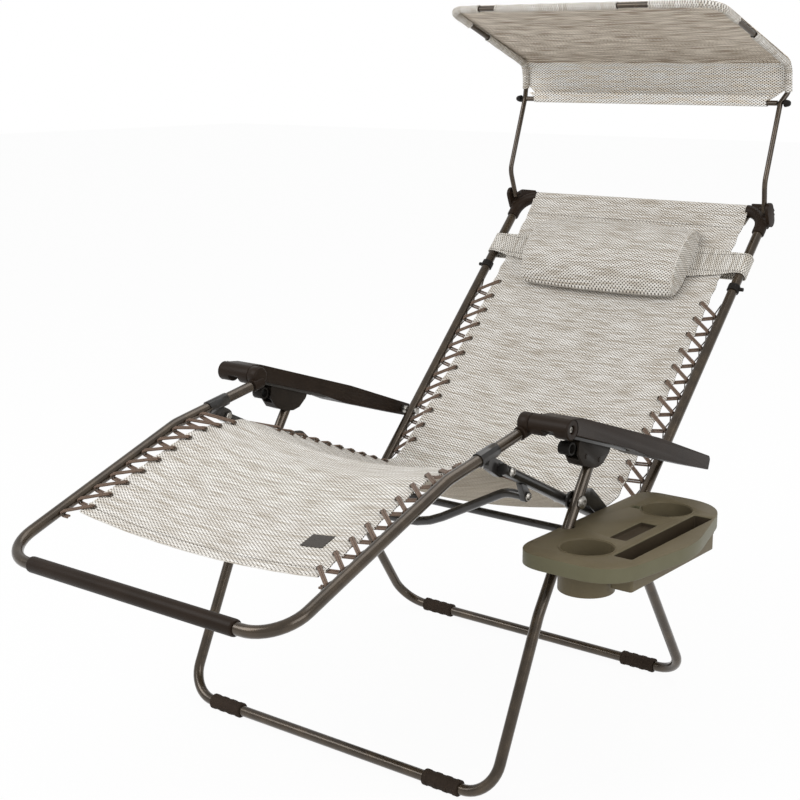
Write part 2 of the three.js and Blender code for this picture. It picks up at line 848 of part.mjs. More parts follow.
function railBolts() {
  const headFace = railOuterFace + touchGap;
  addPair('knee_bolt', hingeBoltAt(kneeLugInnerFace - touchGap, headFace, knee), looks.steel);
  addPair('hip_bolt', hingeBoltAt(frameInnerFace - touchGap, headFace, hip), looks.steel);
}

// Leg rest frame, its grip and the saddle brackets that hang it on the rails
function legRestFrame() {
  const leftHalf = [kneeTube(kneeTubeLength), kneeBend, footBar].map((point) => atWidth(frameHalfWidth, point));
  const radii = [kneeBendRadius, footCornerRadius, footCornerRadius, kneeBendRadius];
  add('leg_rest_frame', tube(mirroredPath(leftHalf), radii, frameTube), looks.bronze);
  const inner = boreFor(frameTube) / 2;
  const outer = gripDiameter / 2;
  const shoulder = gripHalfLength - gripChamfer;
  const profile = [
    [inner, -gripHalfLength],
    [outer - gripChamfer / 2, -gripHalfLength],
    [outer, -shoulder],
    [outer, shoulder],
    [outer - gripChamfer / 2, gripHalfLength],
    [inner, gripHalfLength],
    [inner, -gripHalfLength],
  ];
  add('foot_grip', turned(profile, footBar), looks.brownPlastic);
}

const saddleOutside = boreFor(frameTube) + 2 * saddleWall;

function kneeBracket() {
  const start = atWidth(frameHalfWidth, kneeTube(saddleStart));
  const end = atWidth(frameHalfWidth, kneeTube(saddleEnd));
  const saddle = tube([start, end], [], saddleOutside);
  const lugRootCentre = kneeTube(saddleLugAlong, -kneeLugDrop);
  const lugStart = kneeLugInnerFace;
  const lugEnd = railInnerFace - touchGap;
  const lug = link(lugRootCentre, kneeLugRoot, knee, kneeLugEye, lugStart, lugEnd);
  const tubeRoom = tube(
    [kneeTube(-overrun), kneeTube(kneeTubeLength)].map((point) => atWidth(frameHalfWidth, point)),
    [],
    boreFor(frameTube),
  );
  const boltBore = bore(hingeBolt, lugStart - overrun, lugEnd + overrun, knee);
  addPair('knee_bracket', cut(join(saddle, lug), tubeRoom, boltBore), looks.black);
}

// End cap of the leg rest tube: it carries the pin on which the arm's barrel turns
function armPivotCap() {
  const capEnd = barrelStart - runningGap;
  const disc = rod(barrelDiameter, capEnd - capThickness, capEnd, armPivot);
  const pin = rod(armPivotPin, capEnd, armPivotPinReach, armPivot);
  const socketEnds = [kneeTube(kneeTubeLength - capSocketLength), kneeTube(kneeTubeLength + capSocketReach)];
  const socket = tube(socketEnds.map((point) => atWidth(frameHalfWidth, point)), [], capSocketDiameter);
  const tubeRoom = tube(
    [kneeTube(kneeTubeLength - 2 * capSocketLength), kneeTube(kneeTubeLength + touchGap)].map(
      (point) => atWidth(frameHalfWidth, point),
    ),
    [],
    boreFor(frameTube),
  );
  const screwBore = bore(armScrew, barrelStart, armPivotPinReach + overrun, armPivot);
  addPair('arm_pivot_cap', cut(join(disc, pin, socket), tubeRoom, screwBore), looks.brownPlastic);
}

// Armrest: barrel across the front, long arm behind it, channel below for the lock housing
function armOutline() {
  const tail = armLength + armTail;
  return [
    arm(0, barrelDiameter / 2),
    arm(0, -armBottomFront),
    arm(armLength * armBottomFrontShare, -armBottomFront),
    arm(armLength * armBottomRearShare, -armBottomMiddle),
    arm(tail, -armBottomRear),
    arm(tail, armRearTop - armTailEase),
    arm(tail - armTailEase, armRearTop),
    arm(armLength * armTopRearShare, armTop),
    arm(armLength * armTopFrontShare, armTop),
  ];
}

function armBox(start, end, bottom, top) {
  return [arm(start, bottom), arm(end, bottom), arm(end, top), arm(start, top)];
}

function armrest() {
  const body = plate(armOutline(), armInner, armOuter);
  const barrel = rod(barrelDiameter, barrelStart, armOuter, armPivot);
  const ceiling = armTop - armRoof;
  const channel = plate(armBox(channelStart, channelEnd, -barrelDiameter, ceiling), channelInner, channelOuter);
  const radius = barrelDiameter / 2;
  const notchStart = armInner + barrelNotchInset;
  const notch = plate(
    armBox(-radius, radius, -barrelDiameter, -barrelNotchHeight), notchStart, notchStart + barrelNotchWidth,
  );
  const pinBore = bore(armPivotPin, barrelStart - overrun, armPivotPinReach + touchGap, armPivot);
  const screwBore = bore(armScrew, barrelStart, armOuter + overrun, armPivot);
  const screwRecess = bore(armScrewHead, armOuter - armScrewRecess, armOuter + overrun, armPivot);
  const rearBore = rod(rearPin + 2 * rearPinPlay, armInner - overrun, rearPinReach + runningGap, armRear);
  const armWithBores = cut(join(body, barrel), channel, notch, pinBore, screwBore, screwRecess, rearBore);
  addPair('armrest', armWithBores, looks.brownPlastic);
}

function armScrewPiece() {
  const headFace = armOuter - armScrewRecess + touchGap;
  const shank = rod(armScrew, barrelStart + rearPin, headFace, armPivot);
  const head = rod(armScrewHead, headFace, headFace + armScrewHeadHeight, armPivot);
  addPair('arm_screw', join(shank, head), looks.steel);
}

function trackLiner() {
  const top = armTop - armRoof - touchGap;
  const bottom = -armBottomFront - linerLip;
  const start = channelStart + touchGap;
  const inner = channelInner + touchGap;
  const outer = channelOuter - touchGap;
  const shell = plate(armBox(start, linerEnd, bottom, top), inner, outer);
  const room = plate(
    armBox(start - overrun, linerEnd + overrun, bottom - overrun, top - linerWall),
    inner + linerWall,
    outer - linerWall,
  );
  addPair('track_liner', cut(shell, room), looks.black);
}

// Back frame: one bent tube, cross bar, corner brackets, arm pins and strap hooks
function backFrame() {
  const leftHalf = [back(-backFoot), back(backLength)].map((point) => atWidth(frameHalfWidth, point));
  const frame = tube(mirroredPath(leftHalf), [backCornerRadius, backCornerRadius], frameTube);
  const bores = [hingeBolt, rearPin].flatMap((diameter, index) => {
    const point = index ? armRear : hip;
    return [
      bore(diameter, frameInnerFace - overrun, frameOuterFace + overrun, point),
      bore(diameter, -frameOuterFace - overrun, -frameInnerFace + overrun, point),
    ];
  });
  add('back_frame', cut(frame, ...bores), looks.bronze);
  const barEnd = frameInnerFace - touchGap;
  add('back_cross_bar', rod(crossBarDiameter, -barEnd, barEnd, back(-crossBarAlong)), looks.black);
}

function armRearPin() {
  const nutFace = frameInnerFace - touchGap;
  const collarStart = frameOuterFace + touchGap;
  const collarEnd = armInner - touchGap;
  const pin = turned([
    [0, nutFace - hingeNutHeight],
    [hingeBoltHead / 2, nutFace - hingeNutHeight],
    [hingeBoltHead / 2, nutFace],
    [rearPin / 2, nutFace],
    [rearPin / 2, collarStart],
    [rearPinCollar / 2, collarStart],
    [rearPinCollar / 2, collarEnd],
    [rearPin / 2, collarEnd],
    [rearPin / 2, rearPinReach],
    [0, rearPinReach],
  ], armRear);
  addPair('arm_rear_pin', pin, looks.steel);
}

const canopyPivot = back(canopyPivotAlong, canopyPivotRise);

function cornerBracket() {
  const cheekEnd = bracketCheekStart + bracketCheek;
  const sleeveEnds = [back(bracketAlong), back(backLength + bracketCover)];
  const sleeve = tube(sleeveEnds.map((point) => atWidth(frameHalfWidth, point)), [], bracketDiameter);
  const eyeRoot = back((bracketAlong + backLength) / 2);
  const cheek = link(canopyPivot, bracketEye, eyeRoot, bracketDiameter / 2, bracketCheekStart, cheekEnd);
  const boss = rod(bracketDiameter, frameHalfWidth, cheekEnd, eyeRoot);
  const pin = rod(canopyPin, rodRootHalfWidth - canopyTube, cheekEnd, canopyPivot);
  const frameRoom = tube(
    [atWidth(frameHalfWidth, back(bracketAlong - overrun)), atWidth(frameHalfWidth, back(backLength)),
      atWidth(frameHalfWidth / 2, back(backLength))],
    [backCornerRadius],
    boreFor(frameTube),
  );
  addPair('corner_bracket', join(cut(join(sleeve, boss, cheek), frameRoom), pin), looks.brownPlastic);
}

function strapHook() {
  const ends = [back(hookAlong - hookWidth / 2), back(hookAlong + hookWidth / 2)];
  const outside = boreFor(frameTube) + 2 * hookWall;
  const ring = tube(ends.map((point) => atWidth(frameHalfWidth, point)), [], outside);
  const roomEnds = [back(hookAlong - hookWidth), back(hookAlong + hookWidth)];
  const room = tube(roomEnds.map((point) => atWidth(frameHalfWidth, point)), [], boreFor(frameTube));
  const nubEnd = frameHalfWidth + outside / 2 + hookNub;
  const nub = rod(hookNub, frameOuterFace + touchGap, nubEnd, back(hookAlong));
  addPair('strap_hook', cut(join(ring, nub), room), looks.brownPlastic);
}

// Slings: fabric stretched between the tubes, hanging down towards the middle
function stationsBetween(start, end, longest) {
  const points = [start, end].map((point) => atWidth(0, point));
  return divideRuns(pathStations(points, []), longest);
}

function hang(depth, share, across) {
  return -depth * share * (1 - across ** 2);
}

const upright = new THREE.Vector3(0, 0, 1);
const legSlingStart = legRest(legSlingGap);
const legSlingEnd = sidePoint(knee.x - legSeamGap, knee.y);
const legSling = {
  stations: stationsBetween(legSlingStart, legSlingEnd, slingRun),
  columns: slingColumns,
  halfWidth: () => slingHalfWidth,
  offset: (share, across) => hang(legSlingSag, (1 + share) / 2, across),
  thickness: () => slingThickness,
  lift: upright,
};

// The seat sling is tied to both rails
function seatSling() {
  const start = sidePoint(knee.x + seatSeamGap, knee.y);
  const end = back(backSeamAlong, backSeamRise);
  const depthAt = (share) => legSlingSag + (seatSlingSag - legSlingSag) * Math.sin(Math.PI * share);
  const sling = sheet({
    stations: stationsBetween(start, end, slingRun),
    columns: slingColumns,
    halfWidth: () => slingHalfWidth,
    offset: (share, across) => hang(depthAt(share), 1, across),
    thickness: () => slingThickness,
    lift: upright,
  });
  const ties = seatTieShares.flatMap((share) => {
    const edge = atWidth(slingHalfWidth - slingThickness, start.clone().lerp(end, share));
    const railPoint = atWidth(railHalfWidth, knee.clone().lerp(hip, share));
    const reach = railPoint.distanceTo(edge) - tubeRadius - touchGap;
    const tie = tube([edge, railPoint.sub(edge).setLength(reach).add(edge)], [], laceDiameter, laceSides);
    return [tie, tie.mirror([1, 0, 0])];
  });
  add('seat_sling', join(sling, ...ties), looks.mesh);
}

// The back sling starts ahead of the back tubes and joins their plane higher up
function backSlingRise(along) {
  return backSeamRise * Math.max(0, 1 - (along - backSeamAlong) / (backSlingFlat - backSeamAlong));
}

function backSling() {
  const places = [backSeamAlong + backSeamGap, backSlingFlat, backLength - tubeRadius - touchGap];
  const points = places.map((along) => atWidth(0, back(along, backSlingRise(along))));
  add('back_sling', sheet({
    stations: divideRuns(pathStations(points, [backSlingFlat]), slingRun),
    columns: slingColumns,
    halfWidth: (share) => (share < 1 ? slingHalfWidth : frameHalfWidth - backCornerRadius),
    offset: (share, across) => hang(backSlingSag, Math.cos((Math.PI * share) / 2), across),
    thickness: () => slingThickness,
  }), looks.mesh);
}

// One lace runs to and fro between the sling's edge and the tube, whose facets leave it room
function lace(count, slingAt, tubeAt) {
  const seat = laceDiameter / 2;
  const points = Array.from({ length: 2 * count + 1 }, (_, turn) => [-1, 1].map((side) => {
    const share = THREE.MathUtils.clamp((turn + (side * laceHoldShare) / 2) / (2 * count), 0, 1);
    if (turn % 2) return atWidth(frameInnerFace - seat, tubeAt(share));
    return atWidth(slingHalfWidth + touchGap + seat, slingAt(share));
  })).flat();
  return tube(points, points.slice(2).map(() => 0), laceDiameter, laceSides);
}

function laces() {
  const legEnd = legRestLength - legLaceEnd;
  const legAlong = (share) => THREE.MathUtils.lerp(legSlingGap + legLaceStart, legEnd, share);
  const legSpan = legSlingStart.distanceTo(legSlingEnd);
  const legSlingAt = (share) => legSlingStart.clone().lerp(legSlingEnd, (legAlong(share) - legSlingGap) / legSpan);
  addPair('leg_lace', lace(legLaces, legSlingAt, (share) => legRest(legAlong(share))), looks.lace);
  const backLaceEnd = backLength - backLaceShort;
  const backLaceStart = (backLaces * backPinAlong - lacesBelowPin * backLaceEnd) / (backLaces - lacesBelowPin);
  const backAlong = (share) => THREE.MathUtils.lerp(backLaceStart, backLaceEnd, share);
  const backSlingAt = (share) => back(backAlong(share), backSlingRise(backAlong(share)));
  addPair('back_lace', lace(backLaces, backSlingAt, (share) => back(backAlong(share))), looks.lace);
}

function blankLabel() {
  const legSpan = legSlingStart.distanceTo(legSlingEnd);
  const slope = THREE.MathUtils.radToDeg(legSlingEnd.clone().sub(legSlingStart).angle());
  const slingLine = lineFrame(legSlingStart, slope);
  const rise = slingThickness / 2 + labelThickness / 2 + runningGap;
  const ends = [labelAlong - labelLength / 2, labelAlong + labelLength / 2];
  const label = sheet({
    stations: stationsBetween(slingLine(ends[0], rise), slingLine(ends[1], rise), labelLength / 2),
    columns: 3,
    halfWidth: () => labelWidth / 2,
    offset: (share, across) => {
      const place = (labelOffset + (across * labelWidth) / 2) / slingHalfWidth;
      return legSling.offset(THREE.MathUtils.lerp(...ends, share) / legSpan, place);
    },
    thickness: () => labelThickness,
    lift: upright,
  });
  const mesh = new THREE.Mesh(toGeometry(label), new THREE.MeshStandardMaterial(looks.label));
  mesh.name = 'blank_label';
  mesh.position.x = labelOffset;
  lounger.add(mesh);
}

// Pillow: crowned, thinner at its seams, ends drawn in
function pillow() {
  const centreRise = slingThickness / 2 + touchGap + pillowThickness / 2;
  const stations = stationsBetween(
    back(pillowAlong - pillowLength / 2, centreRise),
    back(pillowAlong + pillowLength / 2, centreRise),
    pillowLength / pillowRows,
  );
  const roundness = (share) => Math.sqrt(Math.max(0, 1 - Math.abs(2 * share - 1) ** 2.5));
  add('pillow', sheet({
    stations,
    columns: pillowColumns,
    halfWidth: (share) => pillowHalfWidth * (1 - pillowDrawInShare * (1 - roundness(share))),
    offset: () => 0,
    thickness: (share, across) => {
      const crown = pillowEndShare + (1 - pillowEndShare) * (1 - across ** 4);
      return pillowThickness * (pillowEdgeShare + (1 - pillowEdgeShare) * roundness(share)) * crown;
    },
  }), looks.mesh);
}

// Strap: from the pillow round each tube and across behind the sling
function pillowStrap() {
  const frontRise = tubeRadius + touchGap + strapThickness / 2;
  const backDepth = tubeRadius + strapBackRise;
  const outside = frameOuterFace + touchGap + strapThickness / 2;
  const pillowSide = pillowHalfWidth + touchGap;
  const line = [[pillowSide, frontRise], [outside, frontRise], [outside, -backDepth]];
  const path = mirroredPath(line.map(([x, rise]) => new THREE.Vector3(x, rise, 0)));
  const stations = pathStations(path, line.map(() => tubeRadius).concat(tubeRadius).slice(0, path.length - 2));
  const edge = (sign) => stations.map(({ point, tangent }) => (
    new THREE.Vector2(point.x, point.y).addScaledVector(
      new THREE.Vector2(-tangent.y, tangent.x), (sign * strapThickness) / 2,
    )
  ));
  const band = new THREE.Shape([...edge(1), ...edge(-1).reverse()]);
  const geometry = new THREE.ExtrudeGeometry(band, { depth: strapWidth, bevelEnabled: false });
  const slope = THREE.MathUtils.degToRad(backSlope);
  const along = new THREE.Vector3(0, Math.cos(slope), Math.sin(slope));
  const rise = new THREE.Vector3(0, -Math.sin(slope), Math.cos(slope));
  const across = new THREE.Vector3().crossVectors(rise, along);
  geometry.applyMatrix4(new THREE.Matrix4().makeBasis(across, rise, along));
  const start = back(strapAlong - strapWidth / 2);
  geometry.translate(0, start.x, start.y);
  add('pillow_strap', solid(geometry), looks.lace);
}

// Canopy: one bent thin tube, lower bar with end knobs, cloth with a turned down rear strip
const fromCanopyPivot = (run, rise) => sidePoint(canopyPivot.x + run, canopyPivot.y + rise);
const rodBend = fromCanopyPivot(rodBendRun, rodBendRise);
const canopyBarPlace = fromCanopyPivot(canopyBarRun, canopyBarRise);
const rodShoulder = fromCanopyPivot(rodShoulderRun, rodShoulderRise);
const canopyFold = fromCanopyPivot(canopyFoldRun, canopyFoldRise);
const canopyFront = ahead(canopyFold, -canopySlope, -canopyReach);

function canopyHoop() {
  const rodDirection = THREE.MathUtils.radToDeg(rodBend.clone().sub(canopyPivot).angle());
  const leftHalf = [
    atWidth(rodRootHalfWidth, ahead(canopyPivot, rodDirection, -rodEnd)),
    atWidth(rodHalfWidth, rodBend),
    atWidth(rodHalfWidth, canopyBarPlace),
    atWidth(canopyHalfWidth, rodShoulder),
    atWidth(canopyHalfWidth, canopyFold),
    atWidth(canopyFrontHalfWidth, canopyFront),
  ];
  const sideRadii = [
    rodBendRadius, rodShoulderRadius / 2, rodShoulderRadius / 2, canopyFoldRadius, canopyCornerRadius,
  ];
  const radii = [...sideRadii, ...sideRadii.slice().reverse()];
  const hoop = tube(mirroredPath(leftHalf), radii, canopyTube, thinTubeSides);
  const reach = canopyTube + overrun;
  const bores = [[canopyPin, canopyPivot, rodRootHalfWidth], [knobPin, canopyBarPlace, rodHalfWidth]].flatMap(
    ([diameter, point, middle]) => [
      bore(diameter, middle - reach, middle + reach, point),
      bore(diameter, -middle - reach, -middle + reach, point),
    ],
  );
  add('canopy_hoop', cut(hoop, ...bores), looks.bronze);
}

function canopyBar() {
  const barEnd = rodHalfWidth - canopyTube / 2 - runningGap;
  const pinBoreEnd = barEnd - knobPinReach;
  const leftBore = bore(knobPin, pinBoreEnd, barEnd + overrun, canopyBarPlace);
  const rightBore = bore(knobPin, -barEnd - overrun, -pinBoreEnd, canopyBarPlace);
  add('canopy_bar', cut(rod(canopyTube, -barEnd, barEnd, canopyBarPlace), leftBore, rightBore), looks.bronze);
  const knobStart = rodHalfWidth + canopyTube / 2 + knobStandoff;
  const knob = turned([
    [0, pinBoreEnd + touchGap],
    [knobPin / 2, pinBoreEnd + touchGap],
    [knobPin / 2, knobStart],
    [knobDiameter / 2, knobStart],
    [knobDiameter / 2, knobStart + knobLength / 2],
    [knobDiameter / 3, knobStart + knobLength],
    [0, knobStart + knobLength],
  ], canopyBarPlace);
  addPair('canopy_knob', knob, looks.darkPlastic);
}

function canopyCloth() {
  const clearance = canopyTube / 2 + runningGap + canopyClothThickness / 2;
  const valanceFoot = sidePoint(canopyBarPlace.x, canopyBarPlace.y + canopyTube / 2 + touchGap);
  const hem = ahead(canopyFront, -canopySlope, -canopyHem);
  const path = [valanceFoot, canopyFold, hem].map((point) => atWidth(0, point));
  const stations = divideRuns(pathStations(path, [canopyFoldRadius]), canopyRun);
  const rows = stations.length - 1;
  const foldRow = stations.findIndex(({ tangent }) => tangent.y < -tangent.z);
  add('canopy_cloth', sheet({
    stations,
    columns: canopyColumns,
    halfWidth: (share) => (Math.round(share * rows) > foldRow ? canopyHalfWidth + canopyHem : valanceHalfWidth),
    offset: (share, across) => {
      const raised = Math.round(share * rows) < foldRow ? 0 : clearance;
      return hang(-canopyClothSag, Math.sin(Math.PI * share), across) - raised;
    },
    thickness: () => canopyClothThickness,
  }), looks.mesh);
}

// Side tray: rimmed deck, two cup wells, long slot pocket, shallow recess, notch for the leg
function post(diameter, x, y, bottom, top) {
  return slab(circlePoints(diameter / 2, cupSides, new THREE.Vector2(x, y)), bottom, top);
}

// Deck outline: straight beside the chair, bowed outside, all corners round
function trayOutline(wall) {
  const near = trayMiddle - trayHalfLength + wall;
  const far = trayMiddle + trayHalfLength - wall;
  return roundedOutline([
    [trayInner + wall, near],
    [trayInner + trayNearReach - wall, near],
    [trayInner + trayBowReach - wall, trayMiddle + trayBowShift],
    [trayInner + trayFarReach - wall, far],
    [trayInner + wall, far],
  ], trayRadii.map((radius) => radius - wall));
}

function sideTray() {
  const bottom = trayTop - trayRim;
  const outline = trayOutline(0);
  const inside = trayOutline(trayWall);
  const deck = cut(slab(outline, bottom, trayTop), slab(inside, bottom - overrun, trayTop - trayWall));
  const cupOutside = cupDiameter + 2 * trayWall;
  const cupShells = cupPlaces.map((y) => post(cupOutside, cupOffset, y, trayTop - cupDepth - trayWall, trayTop));
  const cupWells = cupPlaces.map((y) => post(cupDiameter, cupOffset, y, trayTop - cupDepth, trayTop + overrun));
  const slotBox = (grow, floor, top) => slab(
    roundedRectangle(
      slotStart - grow,
      slotEnd + grow,
      slotMiddle - slotLength / 2 - grow,
      slotMiddle + slotLength / 2 + grow,
      slotRadius + grow,
    ),
    floor,
    top,
  );
  const recessBox = (grow, floor, top) => slab(
    roundedRectangle(
      recessStart - grow,
      recessEnd + grow,
      recessMiddle - recessLength / 2 - grow,
      recessMiddle + recessLength / 2 + grow,
      slotRadius + grow,
    ),
    floor,
    top,
  );
  const slotShell = slotBox(trayWall, trayTop - slotDepth - trayWall, trayTop);
  const slotWell = slotBox(0, trayTop - slotDepth, trayTop + overrun);
  const recessShell = recessBox(trayWall, trayTop - recessDepth - trayWall, trayTop);
  const recessWell = recessBox(0, trayTop - recessDepth, trayTop + overrun);
  const leg = (diameter, reach) => {
    const middle = (trayTop - trayRim / 2 - mainPivot.y) / Math.sin(THREE.MathUtils.degToRad(frontLegSlope));
    return [frontLeg(middle - reach), frontLeg(middle + reach)].map((point) => atWidth(legHalfWidth, point));
  };
  const collar = tube(leg(frameTube, trayRim), [], boreFor(frameTube) + 2 * collarWall);
  const slice = slab(outline, bottom, trayTop);
  const notchHalf = boreFor(frameTube) / 2 / Math.sin(THREE.MathUtils.degToRad(frontLegSlope));
  const passage = tube(leg(frameTube, 2 * trayRim), [], boreFor(frameTube));
  const passageSide = [leg(frameTube, 2 * trayRim)].flatMap(([low, high]) => [
    sidePoint(low.y - notchHalf, low.z),
    sidePoint(low.y + notchHalf, low.z),
    sidePoint(high.y + notchHalf, high.z),
    sidePoint(high.y - notchHalf, high.z),
  ]);
  const mouth = plate(passageSide, trayInner - trayWall, legHalfWidth);
  const mugY = cupPlaces[1] - mugNotchShift;
  const mugStart = cupOffset - cupDiameter / 2 - mugNotchReach;
  const mugNotch = slab(
    [
      new THREE.Vector2(mugStart, mugY - mugNotchWidth / 2),
      new THREE.Vector2(cupOffset, mugY - mugNotchWidth / 2),
      new THREE.Vector2(cupOffset, mugY + mugNotchWidth / 2),
      new THREE.Vector2(mugStart, mugY + mugNotchWidth / 2),
    ],
    trayTop - mugNotchDepth,
    trayTop + overrun,
  );
  const whole = join(deck, ...cupShells, slotShell, recessShell, collar.intersect(slice));
  add('side_tray', cut(whole, ...cupWells, slotWell, recessWell, mugNotch, passage, mouth), looks.trayPlastic);
}

frontLegFrame();
rearLegFrame();
rearPivotPlate();
mainPivotBolt();
lockHousing();
lockLever();
seatRail();
curvedStretcher();
railBolts();
legRestFrame();
kneeBracket();
armPivotCap();
armrest();
armScrewPiece();
trackLiner();
backFrame();
armRearPin();
cornerBracket();
strapHook();
add('leg_sling', sheet(legSling), looks.mesh);
seatSling();
backSling();
laces();
blankLabel();
pillow();
pillowStrap();
canopyHoop();
canopyBar();
canopyCloth();
sideTray();

// The origin is on the floor, in the middle of the lounger's outer box
const bounds = new THREE.Box3().setFromObject(lounger, true);
const middle = bounds.getCenter(new THREE.Vector3());
lounger.position.set(-middle.x, -middle.y, -bounds.min.z);
lounger.updateMatrixWorld(true);

export default lounger;
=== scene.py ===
# %% [markdown]
# A sun lounger with a canopy and a side tray, dressed in Blender.
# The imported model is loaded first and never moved. It says where every tube, bolt and cloth sits, and
# each new piece is made at that place, in metres, with the floor at z = 0.

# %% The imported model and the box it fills
import math
import bpy
from mathutils import Matrix, Vector


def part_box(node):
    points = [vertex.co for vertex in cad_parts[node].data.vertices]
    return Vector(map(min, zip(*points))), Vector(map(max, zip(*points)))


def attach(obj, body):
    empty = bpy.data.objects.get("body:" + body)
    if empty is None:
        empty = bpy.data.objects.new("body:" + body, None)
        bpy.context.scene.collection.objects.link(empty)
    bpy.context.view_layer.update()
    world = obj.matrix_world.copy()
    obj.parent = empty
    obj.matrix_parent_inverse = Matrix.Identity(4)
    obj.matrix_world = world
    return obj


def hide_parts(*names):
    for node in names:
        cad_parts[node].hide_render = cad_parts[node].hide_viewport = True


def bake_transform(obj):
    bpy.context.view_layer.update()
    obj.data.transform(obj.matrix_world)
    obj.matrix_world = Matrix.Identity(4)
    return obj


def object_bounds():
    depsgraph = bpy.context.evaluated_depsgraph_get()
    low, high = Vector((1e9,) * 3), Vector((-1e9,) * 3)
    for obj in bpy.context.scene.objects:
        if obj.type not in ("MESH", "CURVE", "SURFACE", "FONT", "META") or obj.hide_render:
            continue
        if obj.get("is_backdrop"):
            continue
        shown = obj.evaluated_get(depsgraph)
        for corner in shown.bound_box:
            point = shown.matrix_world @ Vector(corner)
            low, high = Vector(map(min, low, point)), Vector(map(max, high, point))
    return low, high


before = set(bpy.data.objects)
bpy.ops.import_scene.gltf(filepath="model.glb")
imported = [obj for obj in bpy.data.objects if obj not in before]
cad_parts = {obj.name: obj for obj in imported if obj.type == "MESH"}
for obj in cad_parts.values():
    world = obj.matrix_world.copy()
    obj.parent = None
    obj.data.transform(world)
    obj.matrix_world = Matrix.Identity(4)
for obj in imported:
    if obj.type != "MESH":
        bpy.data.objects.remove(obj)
solid_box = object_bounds()

# %% [markdown]
# The lounger is symmetric about a plane between its two sides, so a side view is enough to draw it: a
# point is (y, z) in millimetres, and a width puts it to the left or right. Two nodes of the model give the
# shift between that drawing and the scene: the cross bar's middle and the main pivot's centre.

# %% Drawing in the side plane
MM = 0.001
PIVOT = (-166.0, 476.0)
bar_low, bar_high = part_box("back_cross_bar")
bolt_low, bolt_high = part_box("main_pivot_bolt_left")
MIDDLE = (bar_low.x + bar_high.x) / 2
SHIFT = (bolt_low.y + bolt_high.y) / 2 - PIVOT[0] * MM


def at(x, point):
    """A width and a point of the side plane, in millimetres, as a place in the scene."""
    return Vector((MIDDLE + x * MM, SHIFT + point[0] * MM, point[1] * MM))


def ahead(point, slope, length):
    turn = math.radians(slope)
    return (point[0] + length * math.cos(turn), point[1] + length * math.sin(turn))


def line(origin, slope):
    """Places along a sloping line, and square to it."""
    def place(along, rise=0.0):
        return ahead(ahead(origin, slope, along), slope + 90, rise)
    return place


def between(first, second, share):
    return tuple(a + (b - a) * share for a, b in zip(first, second))


RAIL_SLOPE, BACK_SLOPE, LEG_REST_SLOPE, FRONT_SLOPE = -26.5, 45.8, 19.9, 56.9
LEG_REST_LONG = 425.5
rail = line(PIVOT, RAIL_SLOPE)
KNEE, HIP = rail(-200), rail(300)
back = line(HIP, BACK_SLOPE)
ARM_PIVOT = (KNEE[0] + 87, KNEE[1] + 62.8)
ARM_REAR = back(180)
ARM_LENGTH = math.dist(ARM_PIVOT, ARM_REAR)
arm = line(ARM_PIVOT, math.degrees(math.atan2(ARM_REAR[1] - ARM_PIVOT[1], ARM_REAR[0] - ARM_PIVOT[0])))
front_leg = line(PIVOT, FRONT_SLOPE)
KNEE_BEND = (KNEE[0] - 135, KNEE[1] + 9.8)
FOOT_BAR = ahead(KNEE_BEND, LEG_REST_SLOPE, -LEG_REST_LONG)
leg_rest = line(FOOT_BAR, LEG_REST_SLOPE)
knee_tube = line(KNEE_BEND, 10.2)
FRAME_X, RAIL_X, LEG_X = 309.0, 331.0, 357.0
print("middle", round(MIDDLE, 4), "shift", round(SHIFT, 4), "foot bar", [round(v) for v in FOOT_BAR])

# %% [markdown]
# The camera stands where the photographer stood: a little above the seat, in front and to the sitter's left.
# It is set up first, so that every piece can be judged in the picture's own view.

# %% The camera
bpy.ops.object.select_all(action="DESELECT")
bpy.ops.object.camera_add(
    location=(1.6661 + MIDDLE, -2.3326 + SHIFT, 1.2230),
    rotation=(math.radians(77.3), 0, math.radians(38.1)),
)
camera = bpy.context.object
camera.name = "photo_camera"
camera.data.lens = 67.7
camera.data.sensor_width = 36
bpy.context.scene.camera = camera
print("camera at", [round(v, 3) for v in camera.location])

# %% [markdown]
# A material is a sum of small decisions, so its maths is written as sums. A value wraps one socket of the
# node tree, and adding or multiplying values adds the Math nodes.

# %% Shader values and looks
def wired(tree, kind, inputs=None, **settings):
    """A new node: its settings, then a value or a link for each socket that is named."""
    node = tree.nodes.new(kind)
    for word, value in settings.items():
        setattr(node, word, value)
    for word, value in (inputs or {}).items():
        if isinstance(value, bpy.types.NodeSocket):
            tree.links.new(node.inputs[word], value)
        else:
            node.inputs[word].default_value = value
    return node

class Value:
    def __init__(self, look, socket):
        self.look, self.socket = look, socket

    def __add__(self, other):
        return self.look.math("ADD", self, other)

    def __sub__(self, other):
        return self.look.math("SUBTRACT", self, other)

    def __mul__(self, other):
        return self.look.math("MULTIPLY", self, other)

def paint(red, green, blue):
    """A colour read off a screen, 0 to 255, as the light a shader works with."""
    def light(value):
        value /= 255
        return value / 12.92 if value <= 0.04045 else ((value + 0.055) / 1.055) ** 2.4
    return (light(red), light(green), light(blue), 1.0)

